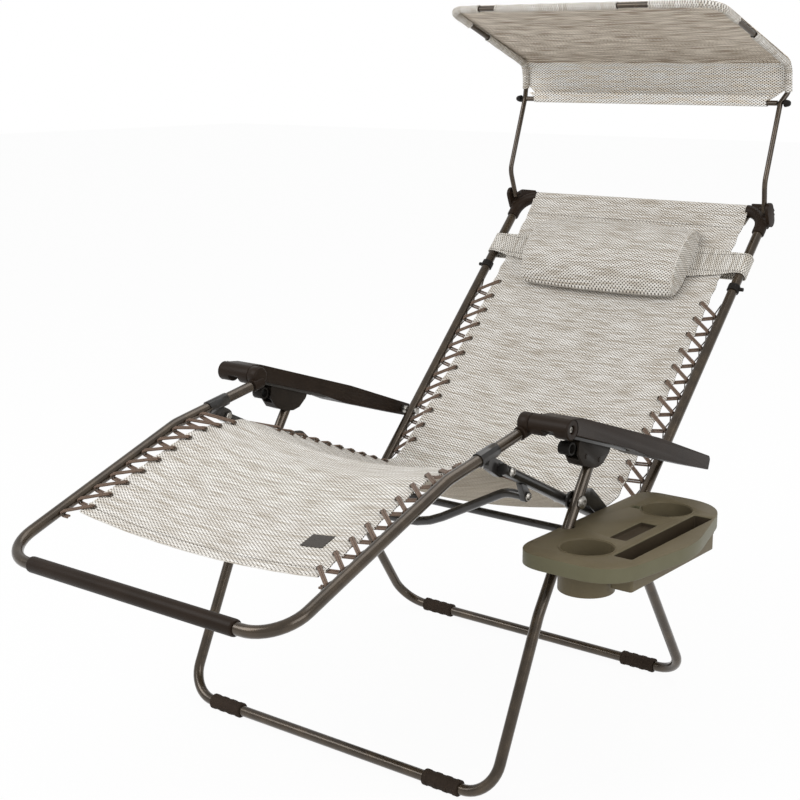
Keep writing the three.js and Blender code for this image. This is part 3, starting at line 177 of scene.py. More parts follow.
class Look:
    """One material: its surface and the nodes that feed it."""
    def __init__(self, name, colour, roughness, **steady):
        self.material = bpy.data.materials.new(name)
        self.material.use_nodes = True
        self.material.diffuse_color = colour
        self.tree = self.material.node_tree
        self.surface = self.tree.nodes["Principled BSDF"]
        for words, value in {"base_color": colour, "roughness": roughness, **steady}.items():
            self.surface.inputs[words.replace("_", " ").title().replace("Ior", "IOR")].default_value = value

    def node(self, kind, inputs=None, output=0, **settings):
        sockets = {word: getattr(value, "socket", value) for word, value in (inputs or {}).items()}
        return Value(self, wired(self.tree, kind, sockets, **settings).outputs[output])

    def math(self, operation, *values):
        return self.node("ShaderNodeMath", dict(enumerate(values)), operation=operation)

    def mix(self, first, second, share):
        return self.node("ShaderNodeMix", {0: share, 6: first, 7: second}, 2, data_type="RGBA")

    def place(self):
        return self.node("ShaderNodeTexCoord", output="Object")

    def cloth_map(self, scale=None):
        """The cloth's own map, in metres, or the same map stretched."""
        chart = self.node("ShaderNodeUVMap", uv_map="weave")
        return self.node("ShaderNodeMapping", {"Vector": chart, "Scale": scale}) if scale else chart

    def parts(self, vector):
        split = self.node("ShaderNodeSeparateXYZ", {0: vector}).socket.node
        return [Value(self, socket) for socket in split.outputs]

    def noise(self, vector, scale, detail=3.0, roughness=0.5):
        return self.node("ShaderNodeTexNoise", {
            "Vector": vector, "Scale": scale, "Detail": detail, "Roughness": roughness,
        })

    def spread(self, value, low, high, out_low=0.0, out_high=1.0):
        return self.node("ShaderNodeMapRange", {
            "Value": value, "From Min": low, "From Max": high, "To Min": out_low, "To Max": out_high,
        }, interpolation_type="SMOOTHSTEP")

    def feed(self, socket, value):
        self.tree.links.new(self.surface.inputs[socket], value.socket)

    def relief(self, height, distance):
        """Bump whose height is in metres."""
        self.feed("Normal", self.node("ShaderNodeBump", {"Height": height, "Distance": distance, "Strength": 1.0}))

# %% [markdown]
# The frame's powder coat is a dark bronze, satin, with the faint orange-peel skin that baked powder has.
# Two noises do it: a coarse one moves the colour and the gloss a little, and a fine one is the skin.

# %% Powder coats
def powder_coat(name, colour, lighter, roughness, metallic):
    look = Look(name, colour, roughness, metallic=metallic, coat_weight=0.5, coat_roughness=0.16)
    cloud = look.noise(look.place(), 38.0, 2.0)
    look.feed("Base Color", look.mix(colour, lighter, look.spread(cloud, 0.35, 0.75)))
    look.feed("Roughness", cloud * 0.12 + (roughness - 0.06))
    look.relief(look.noise(look.place(), 900.0, 2.0), 0.00012)
    return look.material


bronze_coat = powder_coat("bronze_coat", paint(60, 50, 38), paint(76, 64, 49), 0.25, 0.60)
black_coat = powder_coat("black_coat", paint(34, 32, 30), paint(46, 43, 40), 0.32, 0.40)
print("coats", bronze_coat.name, black_coat.name)

# %% [markdown]
# The arms, caps and housings are moulded in nylon with a fine spark-eroded grain. The tray is the same
# plastic in an olive brown. Grain this fine is a matter of bump and roughness, not of colour.

# %% Moulded plastics and rubber
def moulded(name, colour, lighter, roughness, grain=0.00010, pitch=1300.0):
    look = Look(name, colour, roughness, specular_ior_level=0.12)
    patch = look.noise(look.place(), 14.0, 3.0)
    speck = look.noise(look.place(), pitch, 3.0, 0.65)
    look.feed("Base Color", look.mix(colour, lighter, look.spread(patch * 0.6 + speck * 0.4, 0.35, 0.7)))
    look.feed("Roughness", speck * 0.16 + (roughness - 0.08))
    look.relief(speck, grain)
    return look.material


arm_nylon = moulded("arm_nylon", paint(36, 27, 20), paint(44, 34, 26), 0.40)
lock_nylon = moulded("lock_nylon", paint(38, 33, 28), paint(46, 40, 34), 0.38)
lever_nylon = moulded("lever_nylon", paint(28, 26, 24), paint(36, 33, 30), 0.40)
tray_nylon = moulded("tray_nylon", paint(96, 87, 67), paint(105, 96, 75), 0.40)
# The tray rim's upright sides get a lighter, greener copy of the tray's olive: painted light on the sides.
lit_rim_nylon = moulded("lit_rim_nylon", paint(98, 95, 74), paint(106, 103, 82), 0.40)
# The slot and the recess get a darker brown copy of the tray's plastic: painted shade in those hollows.
shaded_well_nylon = moulded("shaded_well_nylon", paint(58, 49, 37), paint(66, 57, 44), 0.50)
sleeve_rubber = moulded("sleeve_rubber", paint(50, 41, 34), paint(60, 50, 42), 0.72, 0.00016, 700.0)

# %% [markdown]
# Bolts, nuts and rivets are zinc plated: grey, with turned rings too fine to model.

# %% Zinc
def zinc_plate():
    look = Look("zinc_plate", paint(176, 172, 165), 0.36, metallic=1.0)
    haze = look.noise(look.place(), 260.0, 4.0, 0.6)
    look.feed("Base Color", look.mix(paint(150, 146, 139), paint(190, 187, 181), look.spread(haze, 0.3, 0.7)))
    look.feed("Roughness", haze * 0.3 + 0.22)
    look.relief(haze, 0.00006)
    return look.material


zinc = zinc_plate()
print("hard finishes", [m.name for m in (arm_nylon, lock_nylon, lever_nylon, tray_nylon, sleeve_rubber, zinc)])

# %% [markdown]
# The cloth is an open mesh of coated yarns, in whites, beiges and greys. At arm's length it reads as light
# and dark dots set like a checkerboard, 4.4 mm by 2.75 mm each. Two sine waves multiplied give that board.
# Long thin noise, stretched across the cloth, gives each row of yarn its own tone. The pattern follows the
# cloth, so it reads the sheet's own map, whose units are metres.

# %% Woven mesh
DOT_ACROSS, DOT_ALONG = 0.0044, 0.00275
THREAD_EDGE, STITCHES = (0.0006, 0.0014), 1400.0

def weave(name, light, beige, dark, seams=(), edges=(), streak=(0.38, 0.64)):
    """Seams and edges are stitched lines, by their place in metres along the cloth or across it."""
    look = Look(name, beige, 0.78, sheen_weight=0.08, sheen_roughness=0.5)
    across, along, _ = look.parts(look.cloth_map())
    wave = look.math("SINE", across * (math.pi / DOT_ACROSS)) * look.math("SINE", along * (math.pi / DOT_ALONG))
    rows, wide = [look.noise(look.cloth_map(scale), 1.0, 2.0) for scale in ((16, 330, 1), (5, 60, 1))]
    yarn = look.mix(light, beige, look.spread(rows * 0.8 + wide * 0.2, *streak))
    shade = look.mix(dark, yarn, look.spread(wave, -0.62, 0.0))
    lines = [(along, across, place) for place in seams] + [(across, along, place) for place in edges]
    for beside, lengthwise, place in lines:
        thread = look.spread(look.math("ABSOLUTE", beside - place), *THREAD_EDGE, 1.0, 0.0)
        stitch = look.spread(look.math("SINE", lengthwise * STITCHES), -0.6, 0.0)
        shade = look.mix(shade, dark, thread * stitch * 0.9)
    look.feed("Base Color", shade)
    look.relief(wave, 0.00045)
    return look.material

SLING_TONES = paint(241, 238, 232), paint(192, 183, 169), paint(72, 65, 57)
sling_face = weave("sling_face", *SLING_TONES)
sling_under = weave("sling_under", paint(208, 198, 180), paint(170, 156, 135), paint(76, 66, 54))
canopy_under = weave(
    "canopy_under", paint(250, 239, 223), paint(166, 148, 126), paint(58, 48, 38), streak=(0.42, 0.60),
)
# The strip below the canopy's fold is the same cloth as its underside, given lighter tones: painted light where the
# strip faces the lamps.
lit_canopy_strip = weave(
    "lit_canopy_strip", paint(255, 255, 252), paint(242, 232, 216), paint(86, 78, 68), streak=(0.42, 0.60),
)
strap_mesh = weave(
    "strap_mesh", paint(238, 235, 228), paint(186, 178, 165), paint(72, 66, 58), edges=(0.0035, 0.0465),
)
print("weaves", [m.name for m in (sling_face, sling_under, canopy_under, strap_mesh)])

# %% [markdown]
# The laces are round elastic cord, brown, with the ribs of its braid slanting round it. The label is a
# small plain woven tag.

# %% Cord and tag
def braid(name, colour, lighter, pitch):
    look = Look(name, colour, 0.8, sheen_weight=0.1)
    rib = look.node(
        "ShaderNodeTexWave", {"Vector": look.place(), "Scale": pitch, "Distortion": 1.5, "Detail": 2.0}, 1,
        wave_type="BANDS", bands_direction="DIAGONAL",
    )
    look.feed("Base Color", look.mix(colour, lighter, rib))
    look.relief(rib, 0.0003)
    return look.material


lace_braid = braid("lace_braid", paint(76, 58, 47), paint(134, 112, 95), 260.0)
tag_weave = braid("tag_weave", paint(52, 47, 43), paint(72, 66, 60), 420.0)
print("cords", lace_braid.name, tag_weave.name)

# %% [markdown]
# A few hand moves come back for every piece: selecting one object alone, opening it for editing, turning
# its faces outwards, rounding its edges, and giving it a finish and a body to ride on.

# %% Moves used for every piece
def only(*pieces):
    bpy.ops.object.select_all(action="DESELECT")
    for piece in pieces:
        piece.select_set(True)
    bpy.context.view_layer.objects.active = pieces[0]

def begun(name, add, **settings):
    """A new piece, started as one of Blender's own shapes."""
    bpy.ops.object.select_all(action="DESELECT")
    add(**settings)
    piece = bpy.context.object
    piece.name = piece.data.name = name
    return piece

def settled(piece):
    """Puts the selected piece's place and turn into its mesh, so that the object stands at the origin."""
    bpy.ops.object.transform_apply(location=True, rotation=True, scale=True)
    return piece

def open_up(piece):
    only(piece)
    bpy.ops.object.mode_set(mode="EDIT")
    bpy.ops.mesh.select_all(action="SELECT")

def close_up():
    bpy.ops.object.mode_set(mode="OBJECT")

def faces_outward(piece, merge=0.000002):
    open_up(piece)
    bpy.ops.mesh.remove_doubles(threshold=merge)
    bpy.ops.mesh.normals_make_consistent(inside=False)
    close_up()
    return piece

def made_whole(piece, merge):
    """Merges points that lie together and takes away the edges across flat faces."""
    open_up(piece)
    bpy.ops.mesh.remove_doubles(threshold=merge)
    bpy.ops.mesh.dissolve_limited(angle_limit=math.radians(1))
    close_up()

def modify(piece, kind, **settings):
    only(piece)
    step = piece.modifiers.new(kind.lower(), kind)
    for word, value in settings.items():
        setattr(step, word, value)
    bpy.ops.object.modifier_apply(modifier=step.name)
    return piece

def rounded(piece, width, segments=2, angle=30, clamp=True):
    return modify(
        piece, "BEVEL", width=width * MM, segments=segments, limit_method="ANGLE",
        angle_limit=math.radians(angle), harden_normals=False, use_clamp_overlap=clamp,
    )

def smooth(piece, angle=35):
    only(piece)
    bpy.ops.object.shade_smooth_by_angle(angle=math.radians(angle))
    return piece

def fit(piece, body, material, slot, *stands_for):
    """Gives a piece its finish, the body it moves with and the solids it stands for."""
    if not piece.data.materials:
        piece.data.materials.append(material)
    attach(piece, body)
    if stands_for:
        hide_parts(*stands_for)

def copied(piece, name):
    """The same piece again, with its own mesh."""
    only(piece)
    bpy.ops.object.duplicate()
    twin = bpy.context.object
    twin.name = twin.data.name = name
    return twin

def mirrored(piece, name):
    twin = copied(piece, name)
    bpy.ops.transform.resize(value=(-1, 1, 1), center_override=(MIDDLE, 0, 0))
    return faces_outward(settled(twin))

def joined(name, pieces):
    only(*pieces)
    bpy.ops.object.join()
    whole = bpy.context.object
    whole.name = whole.data.name = name
    return whole

def both_sides(piece, body, material, slot, *stands_for):
    """Fits a left piece and its mirrored twin. Body and node names end in _left, or serve both sides."""
    def right(word):
        return word.replace("_left", "_right")

    twin = mirrored(piece, right(piece.name))
    fit(piece, body, material, slot, *stands_for)
    fit(twin, right(body), material, slot, *[right(node) for node in stands_for])

# %% [markdown]
# A tube is bent the way a bender does it: a ring is pushed along each straight run, and swung round the
# centre of each bend. Extrude makes the run and Spin makes the bend, and the two open ends are filled.

# %% Bending tube
def round_corner(stand, corner, target, radius):
    """Start and end of a round corner, the directions before and after it and inwards, and its angle."""
    before, after = (corner - stand).normalized(), (target - corner).normalized()
    turn = before.angle(after)
    reach = radius * math.tan(turn / 2)
    inward = (after - before * before.dot(after)).normalized()
    return corner - before * reach, corner + after * reach, before, after, inward, turn

def bent_tube(name, path, radii, diameter, sides=24):
    first = (path[1] - path[0]).normalized()
    tube = settled(begun(
        name, bpy.ops.mesh.primitive_circle_add, vertices=sides, radius=diameter * MM / 2, fill_type="NOTHING",
        location=path[0], rotation=first.to_track_quat("Z", "Y").to_euler(),
    ))
    open_up(tube)
    stand = path[0]
    for corner, target, radius in zip(path[1:-1], path[2:], radii):
        start, end, before, after, inward, turn = round_corner(stand, corner, target, radius * MM)
        bpy.ops.mesh.extrude_region_move(TRANSFORM_OT_translate={"value": start - stand})
        bpy.ops.mesh.spin(
            steps=max(3, round(math.degrees(turn) / 8)), angle=turn,
            center=start + inward * radius * MM, axis=after.cross(before).normalized(),
        )
        stand = end
    bpy.ops.mesh.extrude_region_move(TRANSFORM_OT_translate={"value": path[-1] - stand})
    bpy.ops.mesh.select_all(action="SELECT")
    bpy.ops.mesh.fill_holes(sides=0)
    bpy.ops.mesh.normals_make_consistent(inside=False)
    close_up()
    return smooth(tube, 40)

def across(left_half):
    """The whole path of a tube that is bent alike on both sides, from the (width, point) pairs of its left half."""
    left = [at(x, point) for x, point in left_half]
    return left + [Vector((2 * MIDDLE - p.x, p.y, p.z)) for p in reversed(left)]


# %% [markdown]
# Bolts, knobs, sleeves and caps are turned: a disc is pushed along the axle and scaled at each shoulder,
# as a lathe would leave it. All axles on this lounger run across it, so a turned piece is a list of
# (width, radius) pairs round one point of the side plane.

# %% Turning on the lathe
def turned(name, point, profile, sides=32):
    start_x, start_r = profile[0]
    piece = settled(begun(
        name, bpy.ops.mesh.primitive_circle_add, vertices=sides, radius=start_r * MM, fill_type="NGON",
        location=at(start_x, point), rotation=(0, math.pi / 2, 0),
    ))
    open_up(piece)
    for (x0, r0), (x1, r1) in zip(profile, profile[1:]):
        bpy.ops.mesh.extrude_region_move(TRANSFORM_OT_translate={"value": ((x1 - x0) * MM, 0, 0)})
        if r1 != r0:
            bpy.ops.transform.resize(value=(1, r1 / r0, r1 / r0), center_override=at(x1, point))
    close_up()
    return smooth(faces_outward(piece), 40)

def hoop(name, point, profile, sides=32):
    """A ring round an axle: a closed profile of (width, radius) pairs, spun once round."""
    piece = begun(name, bpy.ops.mesh.primitive_circle_add, vertices=len(profile), radius=MM, fill_type="NOTHING")
    for vertex, (x, radius) in zip(piece.data.vertices, profile):
        vertex.co = at(x, (point[0], point[1] + radius))
    open_up(piece)
    bpy.ops.mesh.spin(steps=sides, angle=2 * math.pi, center=at(0, point), axis=(1, 0, 0))
    close_up()
    return smooth(faces_outward(piece, 0.00001), 40)

# %% [markdown]
# Plates and housings are cut from sheet or moulded flat: an outline in the side plane, pushed across. The
# outline starts as a disc with as many corners as it needs, and each corner is moved to its place.

# %% Flat pieces
def filleted(outline, radii, steps=5):
    """An outline whose corners are rounded to the given radii."""
    points = []
    count = len(outline)
    for index, corner in enumerate(outline):
        radius = radii[index] if isinstance(radii, (list, tuple)) else radii
        before, after = Vector(outline[index - 1]), Vector(outline[(index + 1) % count])
        here = Vector(corner)
        to_before, to_after = (before - here), (after - here)
        half = to_before.angle(to_after) / 2
        reach = min(radius / math.tan(half), 0.45 * to_before.length, 0.45 * to_after.length)
        first, last = here + to_before.normalized() * reach, here + to_after.normalized() * reach
        for step in range(steps + 1):
            share = step / steps
            bezier = first * (1 - share) ** 2 + here * 2 * share * (1 - share) + last * share ** 2
            points.append(tuple(bezier))
    return points


def pushed(name, outline, place, push):
    piece = begun(name, bpy.ops.mesh.primitive_circle_add, vertices=len(outline), radius=MM, fill_type="NGON")
    for vertex, point in zip(piece.data.vertices, outline):
        vertex.co = place(point)
    open_up(piece)
    bpy.ops.mesh.extrude_region_move(TRANSFORM_OT_translate={"value": push})
    close_up()
    return faces_outward(piece)

def slab(name, outline, start, end):
    return pushed(name, outline, lambda point: at(start, point), ((end - start) * MM, 0, 0))

def prism(name, outline, low, high):
    """An outline seen from above, (x, y) in millimetres, pushed up from one height to another."""
    return pushed(name, outline, lambda spot: at(spot[0], (spot[1], low)), (0, 0, (high - low) * MM))

def combined(piece, tool, operation):
    """A Boolean step: the tool is added to the piece or cut out of it, and is gone afterwards."""
    modify(piece, "BOOLEAN", operation=operation, object=tool, solver="EXACT")
    bpy.data.objects.remove(tool)
    return piece

def eased(piece, width, segments=2, angle=30):
    """Small round edges on a piece that was carved, after its flat faces are made whole again."""
    made_whole(piece, 0.00002)
    return smooth(rounded(piece, width, segments, angle, clamp=False), 35)

def trimmed(name, node, edge=0.6, segments=2, angle=30):
    """A copy of a solid whose shape is right, merged and with its edges rounded as moulding leaves them."""
    piece = bpy.data.objects.new(name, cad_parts[node].data.copy())
    piece.data.name = name
    piece.data.materials.clear()
    bpy.context.scene.collection.objects.link(piece)
    made_whole(piece, 0.00001)
    return smooth(rounded(piece, edge, segments, angle), 35)

def trimmed_pair(name, node, body, material, slot, *edge):
    """A trimmed copy of a left solid, and its mirrored twin."""
    piece = trimmed(name, node, *edge)
    both_sides(piece, body, material, slot, node)
    return piece

# %% [markdown]
# The front legs are one tube: down from the lock housing, bent below the seat, and across the floor. Two
# rivets and a bolt go through it, so nothing else is needed to hold it.

# %% Front leg frame
TUBE, BAR_HEIGHT, SHIN_SLOPE = 20, 13.0, 64.8
FRONT_BEND = front_leg(-210)
FRONT_FLOOR = ahead(FRONT_BEND, SHIN_SLOPE, -(FRONT_BEND[1] - BAR_HEIGHT) / math.sin(math.radians(SHIN_SLOPE)))
front_path = across([(LEG_X, front_leg(84)), (LEG_X, FRONT_BEND), (LEG_X, FRONT_FLOOR)])
front_legs = bent_tube("front_legs", front_path, [80, 60, 60, 80], TUBE)
fit(front_legs, "base", bronze_coat, "frame_bronze", "front_leg_frame")
print("front legs", len(front_legs.data.polygons), "faces, floor bar at", [round(v) for v in FRONT_FLOOR])

# %% [markdown]
# The rear legs are the same kind of tube. A flat steel plate is riveted on each upper end and reaches
# forward to the main pivot, so they fold about the same bolt as the seat.

# %% Rear leg frame and its pivot plates
REAR_FLOOR = (264.0, BAR_HEIGHT)
REAR_BEND = (REAR_FLOOR[0] - (350 - BAR_HEIGHT) / math.tan(math.radians(56.4)), 350.0)
REAR_TOP = ahead(REAR_BEND, -39.8, -39)
rear_path = across([(LEG_X, REAR_TOP), (LEG_X, REAR_BEND), (LEG_X, REAR_FLOOR)])
rear_legs = bent_tube("rear_legs", rear_path, [50, 60, 60, 50], TUBE)
fit(rear_legs, "rear_legs", bronze_coat, "frame_bronze", "rear_leg_frame")
trimmed_pair("pivot_plate_left", "rear_pivot_plate_left", "rear_legs", black_coat, "rail_black", 0.8)
print("rear legs bend at", [round(v) for v in REAR_BEND])

# %% [markdown]
# Four rubber sleeves keep the floor bars off the ground. Each is turned with four ribs, their edges eased
# by short slopes, and then cut flat where it stands: a bisect at the floor takes the low part away.

# %% Floor sleeves
def floor_sleeve(name, point):
    start, long = 218.5, 75
    pitch = long / 7
    profile = [(start, 12.6), (start + 0.8, 13.9)]
    for rib in range(4):
        low, high = start + 2 * rib * pitch, start + (2 * rib + 1) * pitch
        profile += [(low + 1.6, 14.5), (high - 1.0, 14.5), (high, 13.6)]
        if rib < 3:
            profile += [(high + pitch - 0.8, 13.6)]
    profile += [(start + long, 12.6)]
    sleeve = turned(name, point, profile, 36)
    open_up(sleeve)
    bpy.ops.mesh.bisect(plane_co=(0, 0, 0.0004), plane_no=(0, 0, -1), clear_outer=True, use_fill=True)
    close_up()
    return faces_outward(sleeve)


for name, point, body in (("front", FRONT_FLOOR, "base"), ("rear", REAR_FLOOR, "rear_legs")):
    sleeve = floor_sleeve(f"{name}_sleeve_left", point)
    both_sides(sleeve, body, sleeve_rubber, "sleeve_rubber", f"{name}_foot_sleeve_left")
    print(sleeve.name, len(sleeve.data.polygons), "faces")

# %% [markdown]
# Every joint turns on a bolt across the lounger: a domed head outside, a nut inside. The nut is turned with
# six sides, the head with many, and a shallow socket is sunk into the head by going back down the axle.

# %% Bolts
def bolt(name, point, inside, outside, shank, head, height, nut, nut_height, body, node):
    heads = turned(name, point, [
        (outside - 0.4, shank / 2), (outside, head / 2 - 0.5), (outside + 0.5, head / 2),
        (outside + height * 0.45, head / 2 - 0.2), (outside + height * 0.8, head * 0.38),
        (outside + height, head * 0.26), (outside + height - 0.1, head * 0.2),
        (outside + height * 0.55, head * 0.18),
    ])
    nuts = turned(name + "_nut", point, [
        (inside - nut_height, nut * 0.40), (inside - nut_height + 0.8, nut / 2),
        (inside - 0.6, nut / 2), (inside, nut * 0.46),
    ], 6)
    rod = turned(name + "_rod", point, [
        (inside - nut_height - 1.5, shank / 2 - 0.6), (inside - nut_height - 0.8, shank / 2), (outside, shank / 2),
    ], 20)
    both_sides(smooth(joined(name, [heads, nuts, rod]), 30), body, zinc, "bolt_steel", node)


bolt("main_bolt_left", PIVOT, 320.7, 367.3, 10, 24, 6, 18, 8, "base", "main_pivot_bolt_left")
bolt("knee_axle_left", KNEE, 308.9, 341.3, 8, 15, 5, 15, 6, "seat", "knee_bolt_left")
bolt("hip_axle_left", HIP, 298.7, 341.3, 8, 15, 5, 15, 6, "seat", "hip_bolt_left")
STRETCHER = (PIVOT[0] - 124, PIVOT[1] + 34)
bolt("stretcher_screw_left", STRETCHER, 318.0, 337.3, 8, 15, 5, 9, 4, "seat", "stretcher_bolt_left")
print("bolts at", [round(v) for v in PIVOT], [round(v) for v in KNEE], [round(v) for v in HIP])

# %% [markdown]
# The seat is carried by two straight black rails with a plug in each end. Below them hangs a stretcher,
# dropped in the middle so that it clears the sling when someone sits.

# %% Seat rails and stretcher
rail_tube = bent_tube("rail_left", [at(RAIL_X, rail(-213)), at(RAIL_X, rail(313))], [], TUBE)
rail_lug = slab("rail_lug", filleted([
    rail(-158.5, -9), rail(-136.5, -9), ahead(STRETCHER, 28, 10), ahead(STRETCHER, -50, 11),
    ahead(STRETCHER, -120, 12), ahead(STRETCHER, 160, 10),
], 7), 325.6, 336.4)
rounded(rail_lug, 1.2)
lugged_rail = joined("rail_left", [rail_tube, smooth(rail_lug)])
both_sides(lugged_rail, "seat", black_coat, "rail_black", "seat_rail_left")
low = (STRETCHER[0], STRETCHER[1] - 90)
stretcher = bent_tube(
    "dropped_stretcher", across([(324.7, STRETCHER), (292, STRETCHER), (120, low)]), [60, 180, 180, 60], 16,
)
fit(stretcher, "seat", black_coat, "rail_black", "curved_stretcher")
print("stretcher", len(stretcher.data.polygons), "faces")

# %% [markdown]
# The leg rest is a third tube, with its foot bar inside a soft brown grip. The grip is turned with rounded
# ends, and hides the bar.

# %% Leg rest frame and foot grip
leg_path = across([(FRAME_X, knee_tube(201)), (FRAME_X, KNEE_BEND), (FRAME_X, FOOT_BAR)])
leg_tube = bent_tube("leg_rest_tube", leg_path, [90, 70, 70, 90], TUBE)
fit(leg_tube, "leg_rest", bronze_coat, "frame_bronze", "leg_rest_frame")
grip = turned("foot_grip_sleeve", FOOT_BAR, [
    (-229, 10.6), (-229, 12.0), (-227.5, 13.1), (-225, 13.5), (225, 13.5), (227.5, 13.1), (229, 12.0), (229, 10.6),
], 40)
fit(grip, "leg_rest", arm_nylon, "arm_plastic", "foot_grip")
print("leg rest tube", len(leg_tube.data.polygons), "faces")

# %% [markdown]
# At the knee a black saddle is clamped round the leg rest tube and hangs on the rail's front bolt. At its
# upper end the tube carries a cap with the pin on which the arm turns. The saddle's shape is right in the solids,
# so it is copied, merged and given the small round edges that pressing leaves; the cap is turned and joined to a
# short socket, its edges rounded as moulding leaves them.

# %% Knee saddles and arm caps
saddle = trimmed_pair("knee_saddle_left", "knee_bracket_left", "leg_rest", black_coat, "rail_black", 0.9)
cap = turned("arm_cap_left", ARM_PIVOT, [
    (300.9, 12.0), (301.2, 14.5), (302.4, 16.6), (304.6, 18.0), (321.6, 18.0), (322.8, 17.2), (322.8, 8.0),
    (356.0, 8.0),
], 40)
socket = bent_tube("socket", [at(FRAME_X, knee_tube(206)), at(FRAME_X, knee_tube(232))], [], 24.6, 28)
cap = smooth(joined("arm_cap_left", [cap, rounded(socket, 1.2)]), 35)
both_sides(cap, "leg_rest", arm_nylon, "arm_plastic", "arm_pivot_cap_left")
print("saddle", len(saddle.data.polygons), "faces, cap", len(cap.data.polygons), "faces")

# %% [markdown]
# An armrest is one long moulding: a deep outer side, a slightly crowned top, and a round barrel across its
# front end. The channel below it is where the lock housing runs, with a steel liner on its walls.

# %% Armrests
def arm_box(name, start, end, low, high, left, right):
    return slab(name, [arm(start, low), arm(end, low), arm(end, high), arm(start, high)], left, right)


TAIL = ARM_LENGTH + 28
outline = filleted([
    arm(0, 18), arm(0, -8), arm(ARM_LENGTH * 0.44, -8), arm(ARM_LENGTH * 0.6, -15), arm(TAIL, -13),
    arm(TAIL, 8), arm(TAIL - 6, 14), arm(ARM_LENGTH * 0.62, 24), arm(ARM_LENGTH * 0.06, 24),
], [2, 2, 160, 160, 2.5, 5, 5, 420, 16], 8)
arm_left = slab("arm_left", outline, 334.0, 400.0)
barrel = turned("barrel", ARM_PIVOT, [(323.0, 17.2), (324.0, 18.0), (400.6, 18.0), (401.6, 17.0)], 56)
combined(arm_left, barrel, "UNION")
for tool in (
    arm_box("channel", 28, 260, -40, 21, 338.5, 375.5),
    arm_box("notch", -20, 20, -40, -9, 350, 374),
    turned("recess", ARM_PIVOT, [(396.0, 7.2), (404.0, 7.2)], 28),
    turned("pin_bore", ARM_PIVOT, [(320.0, 8.05), (356.1, 8.05)], 28),
    turned("rear_bore", ARM_REAR, [(330.0, 6.2), (351.0, 6.2)], 24),
):
    combined(arm_left, tool, "DIFFERENCE")
eased(arm_left, 1.7, 3, 38)
both_sides(arm_left, "arm_left", arm_nylon, "arm_plastic", "armrest_left")
trimmed_pair("arm_liner_left", "track_liner_left", "arm_left", black_coat, "rail_black", 0.3)
screw = turned("arm_cap_screw_left", ARM_PIVOT, [
    (392.0, 3.0), (396.3, 3.0), (396.3, 6.2), (396.9, 6.5), (398.2, 5.9), (399.0, 4.4), (399.0, 2.6), (397.4, 2.4),
])
both_sides(screw, "arm_left", zinc, "bolt_steel", "arm_screw_left")
print("arm", len(arm_left.data.polygons), "faces, length", round(ARM_LENGTH))

# %% [markdown]
# The lock housing sits on each front leg like a boot. Its outline is moulded with soft corners, two rivets
# hold it to the leg, and a lever with a finger ring stands ahead of it.

# %% Lock housings and levers
housing = trimmed_pair("lock_box_left", "lock_housing_left", "base", lock_nylon, "lock_plastic", 1.6, 3)
lever = trimmed_pair(
    "finger_lever_left", "lock_lever_left", "lock_lever_left", lever_nylon, "lock_plastic", 0.9, 2, 35,
)
print("housing", len(housing.data.polygons), "faces, lever", len(lever.data.polygons), "faces")

# %% [markdown]
# The back is a fourth bent tube with a thin bar across its foot. Its upper corners are held in brackets
# that carry the canopy, and two small hooks on its sides stop the pillow's strap.

# %% Back frame
back_path = across([(FRAME_X, back(-34)), (FRAME_X, back(793))])
back_tube = bent_tube("back_tube", back_path, [45, 45], TUBE)
fit(back_tube, "back", bronze_coat, "frame_bronze", "back_frame")
foot_bar = bent_tube("back_foot_bar", [at(-298.7, back(-22)), at(298.7, back(-22))], [], 16)
fit(foot_bar, "back", black_coat, "rail_black", "back_cross_bar")
ear = trimmed("corner_socket_left", "corner_bracket_left", 1.6, 3)
corner = [at(271, back(793)), at(FRAME_X, back(793)), at(FRAME_X, back(734))]
elbow = bent_tube("elbow", corner, [45], 26.4, 32)
rounded(elbow, 1.6, 2, 60)
fin_line = [(270, 806), (313, 807), (322.5, 797), (322, 752), (300, 776), (282, 792)]
fin = slab("fin", filleted(fin_line, [3, 8, 6, 4, 20, 20]), 0, 1)
for vertex in fin.data.vertices:
    width, along = (vertex.co.y - SHIFT) / MM, vertex.co.z / MM
    rise = 10.5 if vertex.co.x > MIDDLE + 0.0005 else -10.5
    vertex.co = at(width, back(along, rise))
faces_outward(fin)
rounded(fin, 2.4, 3)
bracket = joined("corner_socket_left", [ear, elbow, smooth(fin)])
both_sides(bracket, "back", arm_nylon, "arm_plastic", "corner_bracket_left")
trimmed_pair("strap_clip_left", "strap_hook_left", "back", lever_nylon, "arm_plastic", 0.6)
trimmed_pair("arm_rear_axle_left", "arm_rear_pin_left", "back", zinc, "bolt_steel", 0.5)
print("back tube", len(back_tube.data.polygons), "faces")

# %% [markdown]
# The canopy hangs in one thin tube, bent like a hairpin: up from the brackets, forward over the head and
# back again. A straight bar with two knobs joins its sides below the cloth.

# %% Canopy tube, bar and knobs
CANOPY_PIVOT = back(782, 24)


def from_canopy(run, rise):
    return (CANOPY_PIVOT[0] + run, CANOPY_PIVOT[1] + rise)


